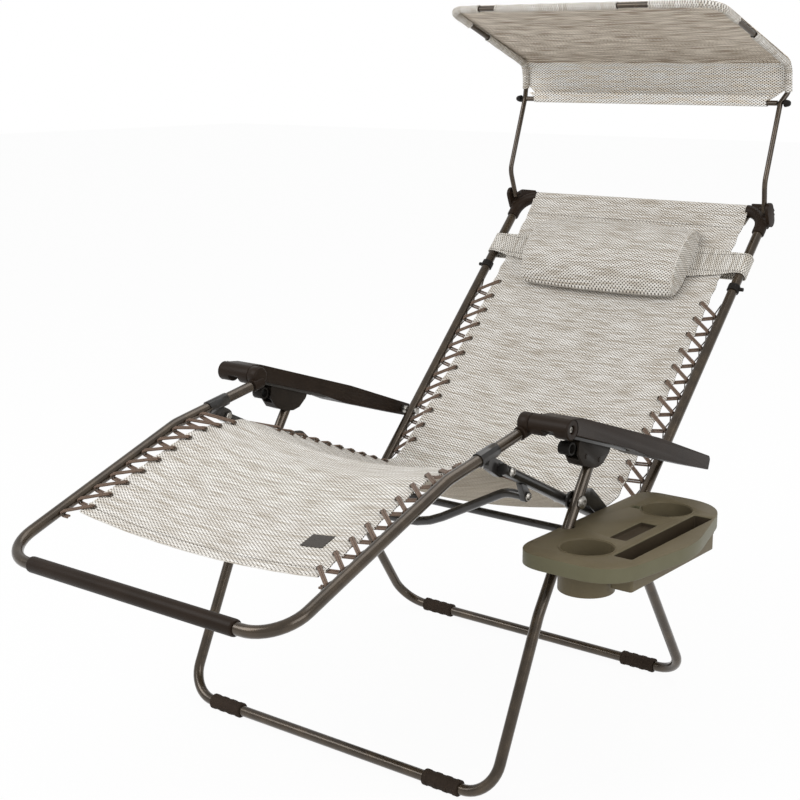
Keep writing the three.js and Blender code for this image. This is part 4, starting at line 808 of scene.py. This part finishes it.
ROD_BEND, CANOPY_BAR = from_canopy(-14.5, 55.5), from_canopy(41.5, 217.5)
SHOULDER, FOLD = from_canopy(58.5, 240.5), from_canopy(54.5, 295.5)
ROOF_LONG = 338
CANOPY_FRONT = ahead(FOLD, -20, -ROOF_LONG)
root = ahead(CANOPY_PIVOT, math.degrees(math.atan2(55.5, -14.5)), -7)
canopy_left = [(313, root), (318, ROD_BEND), (318, CANOPY_BAR), (327, SHOULDER), (327, FOLD), (317, CANOPY_FRONT)]
canopy_radii = [45, 15, 15, 30, 40]
canopy_path = across(canopy_left)
canopy_tube = bent_tube("canopy_tube", canopy_path, canopy_radii + canopy_radii[::-1], 11, 16)
fit(canopy_tube, "canopy", bronze_coat, "frame_bronze", "canopy_hoop")
canopy_rail = bent_tube("canopy_rail", [at(-311.7, CANOPY_BAR), at(311.7, CANOPY_BAR)], [], 11, 16)
fit(canopy_rail, "canopy", bronze_coat, "frame_bronze", "canopy_bar")
knob = turned("canopy_grip_left", CANOPY_BAR, [
    (287.5, 1.9), (327.5, 2.0), (327.5, 6.8), (328.5, 8.0), (332, 7.6), (337, 6.4), (340, 4.4), (340.5, 2.0),
])
both_sides(knob, "canopy", lever_nylon, "lock_plastic", "canopy_knob_left")
print("canopy tube", len(canopy_tube.data.polygons), "faces, pivot", [round(v) for v in CANOPY_PIVOT])

# %% [markdown]
# The side tray is clipped round the front leg: a rimmed deck with two cup wells, a long slot for a phone or
# a magazine, and a shallow recess between them. It is carved as its mould would be: the rim's outline is
# pushed up and hollowed from below, each well is added below the deck and then sunk into it, and every
# edge is eased at the end. Thin lips are laid round the cups.

# %% Side tray
DECK = 437.0
CUPS = ((443.0, -270.0), (443.0, 4.0))

def box_outline(left, right, near, far, radius=3.0):
    return filleted([(left, near), (right, near), (right, far), (left, far)], radius, 4)

def round_outline(centre, radius, count=64):
    turns = [2 * math.pi * i / count for i in range(count)]
    return [(centre[0] + radius * math.cos(turn), centre[1] + radius * math.sin(turn)) for turn in turns]

rim_line = filleted(
    [(348.5, -358), (545, -358), (577, -140), (512, 92), (348.5, 92)], [62, 85, 260, 100, 40], 14,
)
room_line = filleted(
    [(351.5, -355), (543, -355), (573.8, -140), (509.5, 89), (351.5, 89)], [59, 82, 257, 97, 37], 14,
)
tray = prism("cup_tray", rim_line, DECK - 26, DECK)
combined(tray, prism("room", room_line, DECK - 40, DECK - 3), "DIFFERENCE")
wells = [(round_outline(cup, 48), round_outline(cup, 45), 70) for cup in CUPS] + [
    (box_outline(380, 443, -26, -2), box_outline(383, 444, -23, -5), 40),
    (box_outline(495, 536, -283.5, 7.5, 6), box_outline(498, 533, -280.5, 4.5, 3.5), 53),
    (box_outline(440, 479, -203, -87, 5), box_outline(443, 476, -200, -90, 3), 8),
]
for outside, inside, depth in wells:
    combined(tray, prism("well", outside, DECK - depth - 3, DECK - 1), "UNION")
for outside, inside, depth in wells:
    combined(tray, prism("hole", inside, DECK - depth, DECK + 5), "DIFFERENCE")
leg_low, leg_high = front_leg(-90), front_leg(-20)
leg_run = [at(LEG_X, leg_low), at(LEG_X, leg_high)]
collar = bent_tube("collar", leg_run, [], 32, 36)
combined(collar, prism("slice", box_outline(338, 380, -240, -150), DECK - 26, DECK - 1), "INTERSECT")
combined(tray, collar, "UNION")
combined(tray, bent_tube("leg_room", leg_run, [], 23, 36), "DIFFERENCE")
ACROSS_LEG = 90 + FRONT_SLOPE
mouth = [ahead(leg_low, ACROSS_LEG, 11.5), ahead(leg_low, ACROSS_LEG, -11.5)]
mouth += [ahead(leg_high, ACROSS_LEG, -11.5), ahead(leg_high, ACROSS_LEG, 11.5)]
combined(tray, slab("mouth", mouth, 330, LEG_X), "DIFFERENCE")
eased(tray, 1.5, 3, 38)
for material in (tray_nylon, shaded_well_nylon, lit_rim_nylon):
    tray.data.materials.append(material)
for face in tray.data.polygons:
    x, y, z = (face.center.x - MIDDLE) / MM, (face.center.y - SHIFT) / MM, face.center.z / MM
    in_slot = 497 < x < 534 and -281.5 < y < 5.5
    in_recess = 442 < x < 477 and -201 < y < -89
    near_cup = any(math.dist((x, y), cup) < 50 for cup in CUPS)
    # Faces inside the slot and the recess take the darker brown: painted shade.
    if DECK - 54 < z < DECK - 1.6 and (in_slot or in_recess):
        face.material_index = 1
    # Upright faces of the rim take that lighter olive copy: painted light on the sides.
    elif abs(face.normal.z) < 0.6 and z > DECK - 27 and not near_cup:
        face.material_index = 2
for cup in CUPS:
    lip = settled(begun(
        "lip", bpy.ops.mesh.primitive_torus_add, location=at(cup[0], (cup[1], DECK)), major_radius=0.0474,
        minor_radius=0.0011, major_segments=64, minor_segments=8,
    ))
    lip.data.materials.append(tray_nylon)
    tray = joined("cup_tray", [tray, smooth(lip)])
fit(tray, "tray", tray_nylon, "tray_plastic", "side_tray")
print("tray", len(tray.data.polygons), "faces")

# %% [markdown]
# Cloth is a grid that follows a path. The path runs along the cloth in the side plane, with round bends
# where the cloth turns, and a rule says how far each point hangs below it. The cloth's own map is laid out
# in metres from the same path, so the weave keeps its size everywhere.

# %% A path for cloth, and cloth on it
def stations(path, radii, step):
    """Points and directions along a path with round corners, about one step apart."""
    path = [Vector(point) for point in path]
    made, stand = [], path[0]

    def straight(start, end):
        if (end - start).length >= 1e-9:
            count = max(1, round((end - start).length / step))
            direction = (end - start).normalized()
            made.extend((start.lerp(end, i / count), direction) for i in range(count + 1))

    for corner, target, radius in zip(path[1:-1], path[2:], radii):
        start, end, before, _, inward, turn = round_corner(stand, corner, target, radius)
        straight(stand, start)
        count = max(2, round(turn * radius / step), round(math.degrees(turn) / 8))
        for i in range(1, count):
            angle = turn * i / count
            point = start + before * radius * math.sin(angle) + inward * radius * (1 - math.cos(angle))
            made.append((point, before * math.cos(angle) + inward * math.sin(angle)))
        stand = end
    straight(stand, path[-1])
    kept = made[:1]
    for point, direction in made[1:]:
        if (point - kept[-1][0]).length > 1e-7:
            kept.append((point, direction))
    return kept

def lengths(spots):
    total, made = 0.0, [0.0]
    for (first, _), (second, _) in zip(spots, spots[1:]):
        total += (second - first).length
        made.append(total)
    return made

def cut_area(reach, half):
    """A flat cloth's area in square metres, from its length so far and half its width at each row."""
    return sum(2 * half(row) * (reach[row + 1] - reach[row]) for row in range(len(reach) - 1)) * MM * MM

def own_map(mesh):
    """The cloth's own map, in place of the one that the shape came with."""
    while mesh.uv_layers:
        mesh.uv_layers.remove(mesh.uv_layers[0])
    return mesh.uv_layers.new(name="weave")

def cloth(name, columns, rows, place, along_map, across_map):
    """A grid with one column more than columns and one row more than rows, each point put in its place."""
    sheet = begun(name, bpy.ops.mesh.primitive_grid_add, x_subdivisions=columns, y_subdivisions=rows, size=2)
    mesh = sheet.data
    grid_map = own_map(mesh)
    spots = [(round((v.co.x + 1) / 2 * columns), round((v.co.y + 1) / 2 * rows)) for v in mesh.vertices]
    for loop in mesh.loops:
        column, row = spots[loop.vertex_index]
        grid_map.data[loop.index].uv = (across_map(column, row), along_map(row))
    for vertex, (column, row) in zip(mesh.vertices, spots):
        vertex.co = place(column, row)
    return sheet

def thick(sheet, thickness, face, under=None, offset=0.0):
    """Gives cloth its thickness, and another finish on its other side if there is one."""
    sheet.data.materials.clear()
    sheet.data.materials.append(face)
    sheet.data.materials.append(under or face)
    modify(
        sheet, "SOLIDIFY", thickness=thickness * MM, offset=offset, use_rim=True,
        material_offset=1 if under else 0, material_offset_rim=0,
    )
    return smooth(sheet, 50)

# %% [markdown]
# The sling is one cloth from the foot bar to the top of the back. It crosses two hinges, and a blend can
# only follow one, so it is made as two sheets that meet on the seat, which moves with neither. Each is
# stretched between tubes and hangs down towards its middle, most under the seat.

# %% The sling's own path and hang
SLING_HALF, SLING_COLUMNS = 270.0, 60
EYELET_PITCH, SCALLOP = 40, 3.0
SEAM_FRONT = (KNEE[0] - 4.5, KNEE[1])
SEAT_REAR = back(36, 18)
LEG_BEND = leg_rest(430, -7)
SEAT_MIDDLE = between((KNEE[0] + 3, KNEE[1]), SEAT_REAR, 0.5)


def bulge(share):
    return 1 - share * share


def scallop(x, distance):
    """The edge is drawn out at each eyelet and gives way a little between them."""
    near_edge = max(0.0, (abs(x) / SLING_HALF - 0.9) / 0.1)
    between_eyelets = 0.5 - 0.5 * math.cos(2 * math.pi * distance / EYELET_PITCH)
    return x * (1 - near_edge * SCALLOP / SLING_HALF * between_eyelets)

def sling_across(column, row):
    return (2 * column / SLING_COLUMNS - 1) * SLING_HALF * MM


front_spots = stations([leg_rest(143), LEG_BEND, SEAM_FRONT, SEAT_MIDDLE], [150, 60], 9)
front_reach = lengths(front_spots)
KNEE_AT = math.dist(leg_rest(143), LEG_BEND) + math.dist(LEG_BEND, SEAM_FRONT)


def front_place(column, row):
    share = 2 * column / SLING_COLUMNS - 1
    point, _ = front_spots[row]
    distance = front_reach[row]
    if distance < KNEE_AT:
        depth = 34 * (1 + distance / KNEE_AT) / 2
    else:
        depth = 34 + 24 * math.sin(math.pi / 2 * min(1, (distance - KNEE_AT) / (front_reach[-1] - KNEE_AT)))
    return at(scallop(SLING_HALF * share, distance - 20), (point.x, point.y - depth * bulge(share)))


sling_front = cloth(
    "sling_front", SLING_COLUMNS, len(front_spots) - 1, front_place, lambda row: front_reach[row] * MM, sling_across,
)
thick(sling_front, 2.4, weave("sling_leg_face", *SLING_TONES, seams=(0.020,)), sling_under)
at(0, (KNEE[0] - 60, KNEE[1]))
at(0, (KNEE[0] + 60, KNEE[1]))
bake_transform(sling_front)
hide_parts("leg_sling", "seat_sling")
print("front sheet", round(front_reach[-1]), "mm long,", len(front_spots), "rows")

# %% [markdown]
# The rear sheet goes from the middle of the seat up the back and over the top bar, where it is sewn back on
# itself as a sleeve. The direction in which it hangs turns with it: straight down in the seat, square to
# the back higher up.

# %% Rear sheet of the sling
SLEEVE_FROM, TOP_BAR, WRAP = 748, 793, 11.7
rear_line = [SEAT_MIDDLE, SEAT_REAR, back(300, 0.5), back(SLEEVE_FROM, 0.8)]
rear_spots = stations(rear_line, [70, 400], 9)
rear_spots += [(Vector(back(SLEEVE_FROM + 9 * i, 0.8 + 10.9 * (i / 5) ** 2)), None) for i in range(1, 6)]
rear_spots += [
    (Vector(back(TOP_BAR + WRAP * math.sin(math.radians(a)), WRAP * math.cos(math.radians(a)))), None)
    for a in range(12, 193, 15)
]
rear_spots += [(Vector(back(782 - 8 * i, -9.0 + 1.9 * i)), None) for i in range(4)]
rear_reach = lengths(rear_spots)
SEAT_END_AT = math.dist(SEAT_MIDDLE, SEAT_REAR)
BACK_TURN = math.radians(BACK_SLOPE)


def rear_place(column, row):
    share = 2 * column / SLING_COLUMNS - 1
    point, direction = rear_spots[row]
    distance = rear_reach[row]
    if direction is None:
        return at(SLING_HALF * share, point)
    into_back = min(1.0, max(0.0, (distance - SEAT_END_AT + 90) / 180))
    into_back = into_back * into_back * (3 - 2 * into_back)
    seat_depth = 34 + 24 * math.cos(math.pi / 2 * min(1, distance / SEAT_END_AT))
    back_depth = 32 * math.cos(math.pi / 2 * min(1.0, max(0.0, distance - SEAT_END_AT) / 700))
    depth = seat_depth * (1 - into_back) + back_depth * into_back
    down = Vector((0, -1)).lerp(Vector((math.sin(BACK_TURN), -math.cos(BACK_TURN))), into_back).normalized()
    along = (point.x - HIP[0]) * math.cos(BACK_TURN) + (point.y - HIP[1]) * math.sin(BACK_TURN)
    return at(scallop(SLING_HALF * share, along - 105), Vector(point) + down * depth * bulge(share))


sling_rear = cloth(
    "sling_rear", SLING_COLUMNS, len(rear_spots) - 1, rear_place,
    lambda row: (front_reach[-1] + rear_reach[row]) * MM, sling_across,
)
hem_at = (front_reach[-1] + next(r for r, (p, d) in zip(rear_reach, rear_spots) if d is None) - 12) * MM
thick(sling_rear, 2.4, weave("sling_back_face", *SLING_TONES, seams=(hem_at,)), sling_under)
at(0, (70, HIP[1]))
at(0, (175, HIP[1]))
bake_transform(sling_rear)
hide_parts("back_sling")
print("rear sheet", round(rear_reach[-1]), "mm long,", len(rear_spots), "rows")

# %% [markdown]
# The sling is laced with a doubled elastic cord. A thin wire, bent in waves, is welded along the inner side
# of each tube, and the cord hooks over its crests. Each turn comes up through an eyelet, slants down over
# the cloth's edge to a crest, goes round the wire and back below the cloth to the next eyelet. Every turn
# reaches a different distance, so each is laid where it belongs.

# %% Laces and the wires they hook on
EYELET_X = 254


def normal_of(slope):
    turn = math.radians(slope)
    return Vector((0, -math.sin(turn), math.cos(turn)))


def lace(name, holes, drop, cloth_at, tube_at, up, face):
    """Turns from hole to hole. Places along the cloth and the tube are in the tube's own millimetres."""
    strands, long = [], 0.0
    for index, hole in enumerate(holes):
        run = (Vector(tube_at(hole - drop + 1)) - Vector(tube_at(hole - drop - 1))).normalized()
        step, lift = Vector((0, run.x, run.y)), Vector((0, -run.y, run.x)) * 4.0 * MM
        for side in (-2.4, 2.4):
            aside = step * side * MM
            eyelet, hook = at(EYELET_X, cloth_at(hole)) + aside, at(face - 3.1, tube_at(hole - drop)) + aside
            if index + 1 < len(holes):
                end = at(EYELET_X, cloth_at(holes[index + 1])) - up * 0.004 + aside
            else:
                end = hook - lift - Vector((0.014, 0, 0))
            path = [eyelet - up * 0.004, eyelet + up * 0.0028, hook + lift, hook - lift, end]
            strands.append(bent_tube("strand", path, [2.0, 2.9, 2.9], 4.1, 8))
            long += sum((end - start).length for start, end in zip(path, path[1:]))
    print(name, "two strands, each", round(long / 2 / MM), "mm long")
    return joined(name, strands)


def wave_wire(name, holes, drop, tube_at, face):
    points = [at(face - 1.1, tube_at(holes[0] - drop + 32))]
    for hole in holes:
        points += [at(face - 8.0, tube_at(hole - drop)), at(face - 1.1, tube_at(hole - drop - 20))]
    return bent_tube(name, points, [4] * (len(points) - 2), 2.6, 10)


def leg_edge(along):
    return leg_rest(along, -7 * (along - 143) / 287 if along < 430 else -7 - 0.4 * (along - 430))


def leg_side(along):
    return leg_rest(along) if along < LEG_REST_LONG else knee_tube(along - LEG_REST_LONG)


def back_edge(along):
    return back(along, 18 * max(0.0, 1 - (along - 36) / 264))


def seat_edge(along):
    return between((KNEE[0] + 3, KNEE[1]), SEAT_REAR, (along + 200) / 500)


lacings = [
    ("leg", [513, 478] + [443 - 40 * i for i in range(8)], 34, leg_edge, leg_side, LEG_REST_SLOPE, 299, "leg_rest"),
    ("back", [545 - 40 * i for i in range(12)], 30, back_edge, back, BACK_SLOPE, 299, "back"),
    ("seat", [250 - 40 * i for i in range(10)], 34, seat_edge, rail, RAIL_SLOPE, 321, "seat"),
]
for part, holes, drop, cloth_at, tube_at, slope, face, body in lacings:
    cord = lace(f"{part}_cord_left", holes, drop, cloth_at, tube_at, normal_of(slope), face)
    stands_for = [] if part == "seat" else [f"{part}_lace_left"]
    both_sides(cord, body, lace_braid, "lace_cord", *stands_for)
    wire = wave_wire(f"{part}_wire_left", holes, drop, tube_at, face)
    both_sides(wire, body, black_coat if part == "seat" else bronze_coat, "bolt_steel")
    print(cord.name, len(holes), "turns,", len(cord.data.polygons), "faces")

# %% [markdown]
# A brass eyelet, lacquered dark, is pressed round each hole. One ring is spun from a small profile, and its
# copies are turned to lie on the cloth.

# %% Eyelets
ring = hoop("eyelet", (0, 0), [(-1.4, 3.6), (-1.5, 5.4), (-0.2, 5.9), (1.2, 5.2), (1.5, 4.3), (1.0, 3.5)], 20)
ring.data.transform(Matrix.Translation(-at(0, (0, 0))))


def eyelets(name, holes, cloth_at, normal):
    """Copies of the ring, its axle along the cloth's normal."""
    turn = Vector((1, 0, 0)).rotation_difference(normal).to_matrix().to_4x4()
    rings = []
    for hole in holes:
        twin = copied(ring, f"{name}_{hole}")
        twin.data.transform(Matrix.Translation(at(EYELET_X, cloth_at(hole))) @ turn)
        rings.append(twin)
    return smooth(joined(name, rings), 40)


for part, holes, drop, cloth_at, tube_at, slope, face, body in lacings:
    rings = eyelets(f"{part}_eyelets_left", holes, cloth_at, normal_of(slope))
    both_sides(rings, body, bronze_coat, "bolt_steel")
    print(rings.name, len(rings.data.polygons), "faces")
only(ring)
bpy.ops.object.delete()

# %% [markdown]
# A small plain woven tag is sewn to the leg sling near the foot. It follows the cloth below it.

# %% Tag
def tag_place(column, row):
    along, x = 70 + 34 * row / 6, 195 + 22.5 * (2 * column / 8 - 1)
    point = leg_edge(143 + along)
    depth = 34 * (1 + along / KNEE_AT) / 2 * bulge(x / SLING_HALF)
    return at(x, (point[0], point[1] - depth + 2.2))


tag = cloth("bare_tag", 8, 6, tag_place, lambda row: row * 0.0055, lambda column, row: column * 0.0055)
thick(tag, 0.8, tag_weave)
rounded(tag, 0.25, 2, 50)
fit(tag, "leg_rest", tag_weave, "label_cloth", "blank_label")
print("tag", len(tag.data.polygons), "faces")

# %% [markdown]
# The pillow is a stuffed bolster with a flat back and flat ends. It starts as a subdivided cube whose points
# are moved to that shape: full in front, thin at its two long seams. A short cloth simulation with a little
# air pressure then gives it the soft, slightly uneven skin that a stuffed cover has.

# %% Pillow
PILLOW_AT, PILLOW_LONG, PILLOW_HALF, PILLOW_THICK = 632.0, 174.0, 190.0, 62.0


def pillow_place(across_share, along_share, through):
    end = abs(across_share)
    round_off = max(0.0, 1 - abs(along_share) ** 2.3) ** 0.7
    full = PILLOW_THICK * (0.08 + 0.92 * round_off)
    full *= 0.90 + 0.10 * (1 - end ** 6)
    x = across_share * (PILLOW_HALF - 5 * (1 - round_off) + 4 * round_off * (1 - ((through + 1) / 2) ** 2))
    along = PILLOW_AT + along_share * PILLOW_LONG / 2 * (0.97 + 0.03 * (1 - end ** 4))
    flatter = 32 * math.cos(math.pi / 2 * min(1.0, (along + 24) / 700))
    rise = 3.4 - flatter * bulge(min(1.0, abs(x) / SLING_HALF)) + full * (through + 1) / 2
    rise += 9.0 * abs(along_share) ** 5
    return at(x, back(along, rise))


pillow = begun("head_pillow", bpy.ops.mesh.primitive_cube_add, size=2)
open_up(pillow)
bpy.ops.mesh.subdivide(number_cuts=29)
close_up()
pillow_map = own_map(pillow.data)
for face in pillow.data.polygons:
    sideways = max(range(3), key=lambda axis: abs(face.normal[axis]))
    for index in face.loop_indices:
        spot = pillow.data.vertices[pillow.data.loops[index].vertex_index].co
        across_map = spot.z * 0.032 if sideways == 0 else spot.x * 0.19
        along_map = spot.y * 0.09 if sideways != 1 else spot.z * 0.01
        pillow_map.data[index].uv = (across_map, along_map)
for vertex in pillow.data.vertices:
    vertex.co = pillow_place(*vertex.co)
faces_outward(pillow)
held = pillow.vertex_groups.new(name="sewn")
start = [vertex.co.copy() for vertex in pillow.data.vertices]
lean = normal_of(BACK_SLOPE)
base = at(0, back(PILLOW_AT, 0))
for vertex in pillow.data.vertices:
    rise = (vertex.co - base).dot(lean) / MM
    if rise < 8:
        held.add([vertex.index], 1.0, "REPLACE")
only(pillow)
air = pillow.modifiers.new("air", "CLOTH")
air.settings.use_pressure = True
air.settings.uniform_pressure_force = 4.0
air.settings.quality = 6
air.settings.vertex_group_mass = "sewn"
air.settings.effector_weights.gravity = 0
air.collision_settings.use_collision = False
for step in range(1, 13):
    bpy.context.scene.frame_set(step)
bpy.ops.object.modifier_apply(modifier=air.name)
bpy.context.scene.frame_set(1)
moved = 0.0
for vertex, origin in zip(pillow.data.vertices, start):
    shift = vertex.co - origin
    if shift.length > 0.006:
        vertex.co = origin + shift.normalized() * 0.006
    moved = max(moved, shift.length)
pillow.vertex_groups.clear()
print("pillow moved up to", round(moved * 1000, 1), "mm")
modify(pillow, "SUBSURF", levels=1, render_levels=1)
smooth(pillow, 50)
fit(pillow, "pillow", sling_face, "sling_mesh", "pillow")
print("pillow", len(pillow.data.polygons), "faces")

# %% [markdown]
# One strap of the same mesh holds the pillow: from its ends, round both tubes and across behind the sling.
# It is a band that follows a line in the back's cross-section.

# %% Pillow strap
strap_line = [(184, 3.4), (258, 4.2), (300, 11.4), (320.4, 11.4), (320.4, -16)]
strap_path = strap_line + [(-x, rise) for x, rise in reversed(strap_line)]
strap_spots = stations(strap_path, [60, 30, 9.5, 9.5, 9.5, 9.5, 30, 60], 8)
strap_reach = lengths(strap_spots)


def strap_half(row):
    """Half the strap's width: narrow round the tubes and behind, wider where it is sewn to the pillow."""
    spot, _ = strap_spots[row]
    return 25 + (14 * max(0.0, min(1.0, (300 - abs(spot.x)) / 100)) if spot.y > 0 else 0)


def strap_place(column, row):
    spot, _ = strap_spots[row]
    return at(spot.x, back(648 + strap_half(row) * (2 * column / 10 - 1), spot.y))


strap = cloth(
    "pillow_band", 10, len(strap_spots) - 1, strap_place,
    lambda row: strap_reach[row] * MM, lambda column, row: 0.025 + strap_half(row) * MM * (column / 5 - 1),
)
strap_area = cut_area(strap_reach, strap_half)
thick(strap, 1.8, strap_mesh)
fit(strap, "pillow", strap_mesh, "sling_mesh", "pillow_strap")
print("strap", round(strap_reach[-1]), "mm long, area", round(strap_area, 4))

# %% [markdown]
# The canopy's cover is one cloth. It starts in a sleeve on the lower bar, rises as a strip to the fold, and
# runs forward to the front tube. Its edge is taken in at the bar, so that the ends of the bar stay bare.

# %% Canopy cover

OFF = 6.9
bar_wrap = [(Vector(ahead(CANOPY_BAR, angle, OFF)), None) for angle in range(180, 361, 15)]
front_hem = [(Vector((CANOPY_BAR[0] - OFF, CANOPY_BAR[1] + 15 - 5 * i)), None) for i in range(3)]
cover_line = [
    (CANOPY_BAR[0] + OFF, CANOPY_BAR[1]), (SHOULDER[0] + 5.6, SHOULDER[1]),
    (FOLD[0] + 6.0, FOLD[1] + 8.0), ahead(CANOPY_FRONT, 70, OFF),
]
cover_spots = stations(cover_line, [40, 36], 8)
cover_spots = front_hem + bar_wrap + cover_spots[1:]
cover_reach = lengths(cover_spots)
FOLD_AT = max(i for i, (p, d) in enumerate(cover_spots) if p.y < FOLD[1] + 3)


def cover_half(row):
    """Half the cover's width at a row: narrow at the bar, out to the rods, rounded at the front corners."""
    point = cover_spots[row][0]
    above_bar = point.y - CANOPY_BAR[1]
    to_front = cover_reach[-1] - cover_reach[row]
    if above_bar < 6 and row < FOLD_AT:
        return 289.0
    if above_bar < 32 and row < FOLD_AT:
        return 289.0 + (326.0 - 289.0) * (above_bar - 6) / 26
    half = 317 + (327 - 317) * min(1.0, to_front / ROOF_LONG) + 4
    if to_front < 40:
        half -= 40 - math.sqrt(40 ** 2 - (40 - to_front) ** 2)
    return half


def cover_place(column, row):
    share = 2 * column / 56 - 1
    point = cover_spots[row][0]
    run = max(0.0, min(1.0, (cover_reach[row] - cover_reach[FOLD_AT]) / (cover_reach[-1] - cover_reach[FOLD_AT])))
    sag = 7.0 * math.sin(math.pi * run) * (1 - share ** 4)
    return at(cover_half(row) * share, (point.x, point.y - sag))


cover = cloth(
    "canopy_cover", 56, len(cover_spots) - 1, cover_place,
    lambda row: cover_reach[row] * MM, lambda column, row: (2 * column / 56 - 1) * cover_half(row) * MM,
)
thick(cover, 1.2, canopy_under, sling_face)
fit(cover, "canopy", canopy_under, "sling_mesh", "canopy_cloth")
# Faces below the fold take the strip's lighter tones: painted light on the front strip.
cover.data.materials.append(lit_canopy_strip)
for face in cover.data.polygons:
    if face.center.z < at(0, FOLD)[2] + 0.002:
        face.material_index = 2
cover_area = cut_area(cover_reach, cover_half)
print("cover", round(cover_reach[-1]), "mm long, area", round(cover_area, 3))

# %% [markdown]
# The cover's other edges are sewn as sleeves round the tube. The sleeves leave it bare at four places, two
# in front and one on each side, where the hem is cut out to let the tube in. Each sleeve is a grid wound
# round the tube's own path.

# %% Canopy sleeves
sleeve_half = [(327, SHOULDER), (327, FOLD), (317, CANOPY_FRONT)]
sleeve_spots = stations([p * 1000 for p in across(sleeve_half)], [30, 40, 40, 30], 6)
sleeve_reach = lengths(sleeve_spots)
ring_frames = []
outward = Vector((1, 0, 0))
for point, direction in sleeve_spots:
    outward = (outward - direction * outward.dot(direction)).normalized()
    ring_frames.append((point, outward.copy(), direction.cross(outward).normalized()))
SIDE_LONG = math.dist(SHOULDER, FOLD) + ROOF_LONG
FULL_LONG = sleeve_reach[-1]
FRONT_LONG = FULL_LONG - 2 * SIDE_LONG


def sleeve(name, start, end):
    rows = [i for i, reach in enumerate(sleeve_reach) if start <= reach <= end]
    columns = 18

    def sleeve_place(column, row):
        point, outward, upward = ring_frames[rows[row]]
        angle = 2 * math.pi * column / columns
        flare = 0.6 if row in (0, len(rows) - 1) else 0.0
        radius = 7.5 + flare + 0.25 * math.sin(3 * angle + rows[row] * 0.7)
        return (point + (outward * math.cos(angle) + upward * math.sin(angle)) * radius) * MM

    piece = cloth(
        name, columns, len(rows) - 1, sleeve_place,
        lambda row: sleeve_reach[rows[row]] * MM, lambda column, row: column / columns * 2 * math.pi * 0.0075,
    )
    faces_outward(piece, 0.00001)
    thick(piece, 0.9, sling_face, offset=-1.0)
    fit(piece, "canopy", sling_face, "sling_mesh")
    return piece


gaps = [
    (SIDE_LONG - 165, SIDE_LONG - 95),
    (SIDE_LONG + 0.236 * 634 - 20, SIDE_LONG + 0.338 * 634 - 20),
    (SIDE_LONG + FRONT_LONG - 0.180 * 634 + 12, SIDE_LONG + FRONT_LONG - 0.119 * 634 + 12),
    (FULL_LONG - SIDE_LONG + 95, FULL_LONG - SIDE_LONG + 165),
]
edges = [0.0] + [edge for gap in gaps for edge in gap] + [FULL_LONG + 1]
for index in range(0, len(edges), 2):
    made = sleeve(f"canopy_sleeve_{index // 2 + 1}", edges[index], edges[index + 1])
    print(made.name, len(made.data.polygons), "faces")

# %% [markdown]
# The size each sheet of the sling was cut to is printed last.

# %% What the sling was cut to

for piece, reach in ((sling_front, front_reach[-1]), (sling_rear, rear_reach[-1])):
    print(piece.name, "cut", 0.54, "by", round(reach * MM, 3))

# %% [markdown]
# The picture has a white ground, soft light from all round and a faint shadow. The world and three wide
# lamps light the lounger plainly. What the camera sees behind it is white, and so is what metal reflects.

# %% Floor, world and lamps
WHITE = (1, 1, 1, 1)
floor = begun("studio_floor", bpy.ops.mesh.primitive_plane_add, size=40)
ground = bpy.data.materials.new("studio_ground")
ground.use_nodes = True
tree = ground.node_tree
tree.nodes.clear()
rays = wired(tree, "ShaderNodeLightPath").outputs
seen = wired(tree, "ShaderNodeMath", {0: rays["Is Camera Ray"], 1: rays["Is Glossy Ray"]}, operation="MAXIMUM")
share = wired(tree, "ShaderNodeMath", {0: seen.outputs[0], 1: 0.95}, operation="MULTIPLY")
matte = wired(tree, "ShaderNodeBsdfDiffuse", {"Color": (0.86, 0.86, 0.86, 1)})
glow = wired(tree, "ShaderNodeEmission", {"Color": WHITE})
mixed = wired(tree, "ShaderNodeMixShader", {0: share.outputs[0], 1: matte.outputs[0], 2: glow.outputs[0]})
wired(tree, "ShaderNodeOutputMaterial", {"Surface": mixed.outputs[0]})
floor.data.materials.append(ground)
floor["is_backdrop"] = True

world = bpy.data.worlds.new("studio_world")
bpy.context.scene.world = world
world.use_nodes = True
sky = world.node_tree
camera_ray = wired(sky, "ShaderNodeLightPath").outputs["Is Camera Ray"]
strength = wired(sky, "ShaderNodeMapRange", {"Value": camera_ray, "To Min": 0.66, "To Max": 1.0})
background = sky.nodes["Background"]
background.inputs["Color"].default_value = WHITE
sky.links.new(background.inputs["Strength"], strength.outputs["Result"])

def lamp(name, place, aim, size, power):
    bpy.ops.object.light_add(type="AREA", location=place)
    light = bpy.context.object
    light.name = name
    light.data.shape = "SQUARE"
    light.data.size = size
    light.data.energy = power
    light.rotation_euler = (Vector(aim) - Vector(place)).to_track_quat("-Z", "Y").to_euler()


lamp("key_lamp", (-2.2, -3.2, 3.6), (0, 0, 0.6), 2.6, 92)
lamp("side_lamp", (3.4, -1.0, 2.2), (0, 0, 0.6), 2.2, 42)
lamp("top_lamp", (0.2, 1.4, 4.4), (0, 0.2, 0.5), 3.0, 50)
scene = bpy.context.scene
scene.view_settings.view_transform = "Standard"

# %% [markdown]
# The last cell prints the dressed lounger's box beside the solids' box.

# %% Boxes
dressed_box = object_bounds()
for title, box in (("solids", solid_box), ("dressed", dressed_box)):
    for word, low, high in zip("xyz", box[0], box[1]):
        print(word, title, round(low, 4), round(high, 4))
